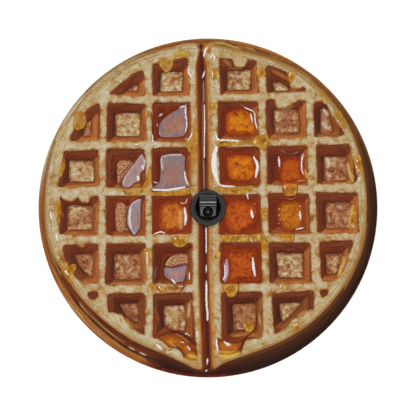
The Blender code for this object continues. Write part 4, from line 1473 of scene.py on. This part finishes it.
def side_wall():
    turn = np.arange(AROUND) * math.tau / AROUND
    seam_foot = WALL_TOP_Z - SEAM_HEIGHT
    seam_profile = [(0.0004, 0.0), (SEAM_PROUD - 0.0002, 0.0002), (SEAM_PROUD, 0.0012), (SEAM_PROUD, 0.0030),
                    (SEAM_PROUD - 0.0004, 0.0050), (SEAM_PROUD, 0.0070), (SEAM_PROUD, 0.0088),
                    (SEAM_PROUD - 0.0003, SEAM_HEIGHT)]
    rows = [ring_of(COVER_RADIUS + proud + SEAM_RIPPLE * pucker(turn), WALL_TOP_Z - down, turn)
            for proud, down in seam_profile]
    heights = np.concatenate([
        np.linspace(seam_foot - 0.0006, seam_foot - 0.022, 7),
        np.linspace(seam_foot - 0.030, BAND_FOOT_Z + 0.030, 16),
        np.linspace(BAND_FOOT_Z + 0.022, BAND_FOOT_Z, 7)])
    rows += [ring_of(wall_radius(turn, z), z, turn) for z in heights]
    inner_heights = (BAND_FOOT_Z, 0.5 * BAND_FOOT_Z + 0.5 * WALL_TOP_Z)
    rows += [ring_of(wall_radius(turn, z) - VINYL, z, turn) for z in inner_heights]
    rows.append(ring_of(COVER_RADIUS - VINYL, WALL_TOP_Z, turn))
    points, faces = lofted(rows)
    obj = add_piece("crust_wall", points, faces, crust_vinyl(), ["side_band"])
    write_edge_tone(obj.data, points)
    mark_backing(obj.data, AROUND * (len(seam_profile) + len(heights) - 1))


def back_edge():
    """The edge that turns in behind the wheel, gathered by the elastic in its hem."""
    turn = np.arange(AROUND) * math.tau / AROUND
    flat_radius = COVER_RADIUS - BACK_SHOULDER
    gathers = 0.5 + 0.5 * waves(turn, [(64, 0.4, 0.42), (83, 2.0, 0.30), (41, 4.4, 0.28)])
    outer, inner = [], []
    for i in range(10):
        bend = math.pi / 2 * i / 9
        cos, sin = math.cos(bend), math.sin(bend)
        ripple = 0.0005 * (1 - i / 9) * pucker(turn)
        outer.append(ring_of(flat_radius + BACK_SHOULDER * cos + ripple, BACK_SHOULDER * (1 - sin), turn))
        inside = BACK_SHOULDER - VINYL
        inner.append(ring_of(flat_radius + inside * cos + ripple, BACK_SHOULDER - inside * sin, turn))
    steps = 9
    for i in range(1, steps + 1):
        share = i / steps
        radius = flat_radius + (MOUTH_RADIUS + BEAD_RADIUS - flat_radius) * share
        rise = GATHER_RISE * share**1.5 * gathers
        outer.append(ring_of(np.full(AROUND, radius), rise, turn))
        inner.append(ring_of(np.full(AROUND, radius), rise + VINYL, turn))
    bead = []
    for i in range(1, 10):
        bend = math.radians(-90 - 34 * i)
        radius = MOUTH_RADIUS + BEAD_RADIUS + BEAD_RADIUS * math.cos(bend) - BEAD_PULL * gathers
        z = BEAD_RADIUS + BEAD_RADIUS * math.sin(bend) + GATHER_RISE * gathers
        bead.append(ring_of(radius, z, turn))
    points, faces = lofted(outer + bead + inner[::-1])
    obj = add_piece("gathered_back", points, faces, crust_vinyl(), ["back_flap"])
    write_edge_tone(obj.data, points)
    mark_backing(obj.data, AROUND * (len(outer) + len(bead)))


def write_edge_tone(mesh, points):
    """Carries the print's outermost tone down the wall, where it turns into an even baked brown."""
    canvas = Canvas(points[:, :2] * MM)
    edge = side_tones(canvas, np.full(len(points), 1000.0))
    fade = smooth_step(SEAM_Z - points[:, 2], 0.0, WALL_FADE) * 0.85
    write_fields(mesh, {"side": mixed(edge, linear(*CRUST), fade)})


def mark_backing(mesh, outer_faces):
    mesh.materials.append(backing_cloth())
    slots = np.ones(len(mesh.polygons), np.int32)
    slots[:outer_faces] = 0
    mesh.polygons.foreach_set("material_index", slots)


def crust_vinyl():
    """The baked side of the waffle, printed on the wall."""
    g = Graph("crust_print")
    layers = g.noise(g.place((7.0, 7.0, 95.0)), 1.0, 4.0, 0.6, 0.5)
    patches = g.noise(g.place(), 16.0, 3.0, 0.6, 0.8)
    tint = g.ramp(layers * 0.6 + patches * 0.4, [
        (0.34, (120, 96, 84)), (0.45, (186, 176, 168)), (0.54, (232, 226, 214)), (0.66, (255, 250, 228))])
    colour = g.gain(g.tinted(g.attribute("side"), tint), 1.25)
    cloth_grain(g)
    return g.finish(colour, g.noise(g.place(), 25.0) * 0.12 + 0.38, 0.35)


def thread():
    g = Graph("thread")
    twist = g.noise(g.place((2500.0, 2500.0, 2500.0)), 1.0, 2.0)
    g.bump(twist, 0.00008, 0.6)
    return g.finish(g.ramp(twist, [(0.35, (58, 36, 22)), (0.65, (96, 64, 40))]), 0.7, 0.3)


def stitches():
    """Rows of thread round the seam and the wall's foot, and up the join."""
    profile = [(-1.0, 0.25), (-0.7, 0.85), (0.0, 1.0), (0.7, 0.85), (1.0, 0.25)]
    sides = 6
    points, faces = [], []

    def add_stitch(centre, along, out):
        across = np.cross(out, along)
        base = len(points)
        for position, size in profile:
            reach = along * position * STITCH_LENGTH / 2
            for k in range(sides):
                bend = math.tau * k / sides
                ring = across * math.cos(bend) + out * math.sin(bend) * STITCH_FLATNESS
                points.append(centre + reach + size * STITCH_HALF_WIDTH * ring)
        for i in range(len(profile) - 1):
            for k in range(sides):
                a, b = base + i * sides + k, base + i * sides + (k + 1) % sides
                faces.append((a, b, b + sides, a + sides))
        faces.append(tuple(base + k for k in range(sides))[::-1])
        faces.append(tuple(base + (len(profile) - 1) * sides + k for k in range(sides)))

    rows = [(WALL_TOP_Z - 0.0050, SEAM_PROUD - 0.0003), (WALL_TOP_Z - SEAM_HEIGHT - 0.0040, 0.0),
            (BAND_FOOT_Z + 0.0035, 0.0)]
    for z, proud in rows:
        count = round(math.tau * COVER_RADIUS / STITCH_PITCH)
        for i in range(count):
            turn = math.tau * i / count
            out = np.array([math.cos(turn), math.sin(turn), 0.0])
            if proud:
                radius = COVER_RADIUS + proud
            else:
                radius = wall_radius(np.array([turn]), z)[0]
            along = np.array([-math.sin(turn), math.cos(turn), 0.0])
            add_stitch(out * (radius + STITCH_PROUD) + np.array([0, 0, z]), along, out)
    for offset in (-0.6, 0.6):
        turn = JOIN_ANGLE + offset * JOIN_HALF_WIDTH / COVER_RADIUS
        out = np.array([math.cos(turn), math.sin(turn), 0.0])
        for z in np.arange(BAND_FOOT_Z + 0.009, WALL_TOP_Z - SEAM_HEIGHT - 0.008, STITCH_PITCH):
            radius = wall_radius(np.array([turn]), z)[0]
            add_stitch(out * (radius + STITCH_PROUD) + np.array([0, 0, z]), np.array([0.0, 0.0, 1.0]), out)
    add_piece("stitching", points, faces, thread())


# The camera in the hole: greys by distance (mm) across each part, which paint its highlights, reflections
# and shade

LENS_Y = -0.0093
RING_REACH = 50.0
HOOD_REACH = 40.0
# The bezel: paler bands are painted highlights on its rims, the near-black outer edge is a painted shadow,
# and it goes near-black towards the hole
BEZEL_HIGHLIGHT_AND_SHADE_GREYS = [
    (30.4, 6), (31.4, 38), (33.2, 66), (34.2, 40), (37.0, 52), (39.0, 56), (40.6, 58), (41.5, 36), (42.2, 2)]
# The lens ring: its grey bands are painted highlights on its bevels
LENS_RING_HIGHLIGHT_GREYS = [(6.7, 2), (7.0, 60), (7.7, 66), (8.2, 0), (10.9, 0), (11.5, 20)]
# The glass: the pale centre dot and the grey ring are painted reflections
GLASS_REFLECTION_GREYS = [(0.8, 190), (1.4, 24), (1.9, 0), (3.4, 0), (3.9, 50), (4.5, 44), (5.0, 0)]
# The hood, by y (mm): pale bands are painted highlights along its ridges, dark bands are painted shade
# beside them
HOOD_HIGHLIGHT_AND_SHADE_GREYS = [
    (3.0, 24), (5.0, 40), (9.0, 8), (11.0, 6), (12.2, 90), (15.6, 80), (16.4, 14), (22.0, 30), (30.0, 24)]
PLASTIC_GRAIN = 2600.0
BAR_HALF_LENGTH = 0.0200


def moulded_plastic(name, light, dark, roughness):
    """Plastic with a fine sparked texture and slightly uneven gloss."""
    g = Graph(name)
    fine = g.noise(g.place(), PLASTIC_GRAIN, 2.0)
    broad = g.noise(g.place(), 60.0, 2.0)
    g.bump(fine, 0.00005, 0.6)
    colour = g.ramp(fine * 0.5 + broad * 0.5, [(0.35, dark), (0.65, light)])
    return g.finish(colour, broad * 0.1 + roughness, 0.5)


def banded_plastic(g, distance, reach, stops, uneven, roughness, specular=0.5):
    """Plastic whose grey goes by a distance (mm): stops are (distance, grey)."""
    fine = g.noise(g.place(), PLASTIC_GRAIN, 2.0)
    stops = [(at / reach, (grey,) * 3) for at, grey in stops]
    greys = g.ramp(distance * (1 / reach) + (fine - 0.5) * uneven, stops)
    g.bump(fine, 0.00003, 0.5)
    return g.finish(greys, fine * 0.1 + roughness, specular)


def ringed(name, centre_y, stops, roughness, specular=0.5):
    """A turned part: greys by distance from its centre."""
    g = Graph(name)
    x, y, _ = g.split(g.place((MM, MM, MM)))
    y = y - centre_y * MM
    distance = g.math("POWER", x * x + y * y, 0.5)
    return banded_plastic(g, distance, RING_REACH, stops, 0.01, roughness, specular)


def painted_hood_light():
    """The hood's dark plastic, with painted highlights as paler bands along its raised ridges and painted
    shade beside them.
    """
    g = Graph("hood_body_painted_light")
    y = g.split(g.place((MM, MM, MM)))[1]
    return banded_plastic(g, y, HOOD_REACH, HOOD_HIGHLIGHT_AND_SHADE_GREYS, 0.012, 0.34)


def rounded_bar(name, y, z, half_length, half_width, height, material):
    """A long ridge with a rounded top and rounded ends."""
    around, end_steps = 24, 7
    along = np.concatenate([
        -np.cos(np.linspace(0, math.pi / 2, end_steps)), np.cos(np.linspace(math.pi / 2, 0, end_steps))])
    inset = half_length - half_width
    places = half_width * along + np.repeat([-inset, inset], end_steps)
    shrink = np.sqrt(np.clip(1 - along**2, 0.0016, None))
    bend = np.linspace(0, math.tau, around, endpoint=False)
    points, faces = [], []
    for i, (x, size) in enumerate(zip(places, shrink)):
        points.append(np.column_stack([
            np.full(around, x), y + half_width * size * np.cos(bend), z + height * size * np.sin(bend)]))
        ring = np.arange(around) + around * i
        after = np.roll(ring, -1)
        if i < len(places) - 1:
            faces += [tuple(quad) for quad in np.column_stack([ring, after, after + around, ring + around])]
    faces += [tuple(range(around)), tuple(ring)[::-1]]
    add_piece(name, np.vstack(points), faces, material)


def dress_camera():
    # The bezel and lock ring get greys that paint highlights and an outer shadow; the lens ring's greys
    # paint highlights, the glass's paint reflections
    bezel = ringed("bezel_plastic_painted_light", 0.0, BEZEL_HIGHLIGHT_AND_SHADE_GREYS, 0.40, 0.14)
    plate = moulded_plastic("plate_plastic", (108, 108, 110), (66, 66, 68), 0.40)
    black = moulded_plastic("black_plastic", (14, 14, 15), (6, 6, 7), 0.40)
    finishes = {
        "camera_bezel": bezel, "camera_barrel": black, "lock_ring": bezel, "camera_hood": painted_hood_light(),
        "camera_face": plate, "face_screw_left": black, "face_screw_right": black, "cable_socket": black,
        "lens_ring": ringed("lens_ring_painted_highlights", LENS_Y, LENS_RING_HIGHLIGHT_GREYS, 0.6, 0.0),
        "lens_glass": ringed("glass_painted_reflections", LENS_Y, GLASS_REFLECTION_GREYS, 0.3, 0.02),
    }
    for name, material in finishes.items():
        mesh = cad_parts[name].data
        mesh.materials.clear()
        mesh.materials.append(material)
    # The bars are paler than the hood: painted highlights along its ridge, lip and brow
    ridge = moulded_plastic("ridge_painted_highlight", (146, 146, 148), (124, 124, 126), 0.34)
    lip = moulded_plastic("lip_painted_highlight", (118, 118, 120), (98, 98, 100), 0.30)
    rounded_bar("hood_ridge", 0.0136, FACE_Z + 0.0074, BAR_HALF_LENGTH, 0.0018, 0.0014, ridge)
    rounded_bar("hood_lip", 0.0067, FACE_Z + 0.0060, BAR_HALF_LENGTH, 0.0013, 0.0012, lip)
    rounded_bar("hood_brow", 0.0300, FACE_Z + 0.0030, BAR_HALF_LENGTH, 0.0016, 0.0012, moulded_plastic(
        "brow_painted_highlight", (92, 92, 94), (74, 74, 76), 0.34))


# The stage

FLOOR_HALF = 12.0
FLOOR_GLOW = 0.42
WORLD_STRENGTH = 1.40
FRAME_WIDTH = 0.9938  # m across the picture at the height of the face
CAMERA_HEIGHT = 6.0
SENSOR = 36.0


def make_stage():
    """A pale floor that glows faintly, as a light table does."""
    g = Graph("studio_floor")
    g.shader.inputs["Base Color"].default_value = tone(244, 244, 243)
    g.shader.inputs["Roughness"].default_value = 0.9
    g.shader.inputs["Emission Color"].default_value = (1.0, 1.0, 1.0, 1.0)
    g.shader.inputs["Emission Strength"].default_value = FLOOR_GLOW
    mesh = bpy.data.meshes.new("studio_floor")
    corners = [(-1, -1), (1, -1), (1, 1), (-1, 1)]
    mesh.from_pydata([(x * FLOOR_HALF, y * FLOOR_HALF, 0) for x, y in corners], [], [(0, 1, 2, 3)])
    mesh.materials.append(g.material)
    floor = bpy.data.objects.new("studio_floor", mesh)
    bpy.context.scene.collection.objects.link(floor)


def light_world():
    """A soft room: dim overhead, so that nothing mirrors in the face, and bright all round."""
    world = bpy.data.worlds.new("studio")
    bpy.context.scene.world = world
    world.use_nodes = True
    tree = world.node_tree
    background = tree.nodes["Background"]
    place = tree.nodes.new("ShaderNodeTexCoord")
    split = tree.nodes.new("ShaderNodeSeparateXYZ")
    ramp = tree.nodes.new("ShaderNodeValToRGB")
    tree.links.new(place.outputs["Generated"], split.inputs[0])
    tree.links.new(split.outputs[2], ramp.inputs[0])
    tree.links.new(ramp.outputs[0], background.inputs["Color"])
    levels = [(0.0, 0.50), (0.35, 0.62), (0.62, 1.0), (0.86, 1.0), (0.95, 0.16)]
    elements = ramp.color_ramp.elements
    for index, (height, level) in enumerate(levels):
        element = elements[index] if index < 2 else elements.new(height)
        element.position = height
        element.color = (level, level, level, 1.0)
    background.inputs["Strength"].default_value = WORLD_STRENGTH


def add_camera():
    """Looks straight down on the print."""
    data = bpy.data.cameras.new("overhead")
    camera = bpy.data.objects.new("overhead", data)
    bpy.context.scene.collection.objects.link(camera)
    camera.location = (0.0, 0.0, FACE_Z + CAMERA_HEIGHT)
    data.sensor_width = SENSOR
    data.lens = SENSOR * CAMERA_HEIGHT / FRAME_WIDTH
    data.clip_end = 100.0
    bpy.context.scene.camera = camera


def main():
    printed_panel()
    side_wall()
    back_edge()
    stitches()
    dress_camera()
    make_stage()
    light_world()
    add_camera()
    bpy.context.scene.view_settings.view_transform = "Standard"


main()
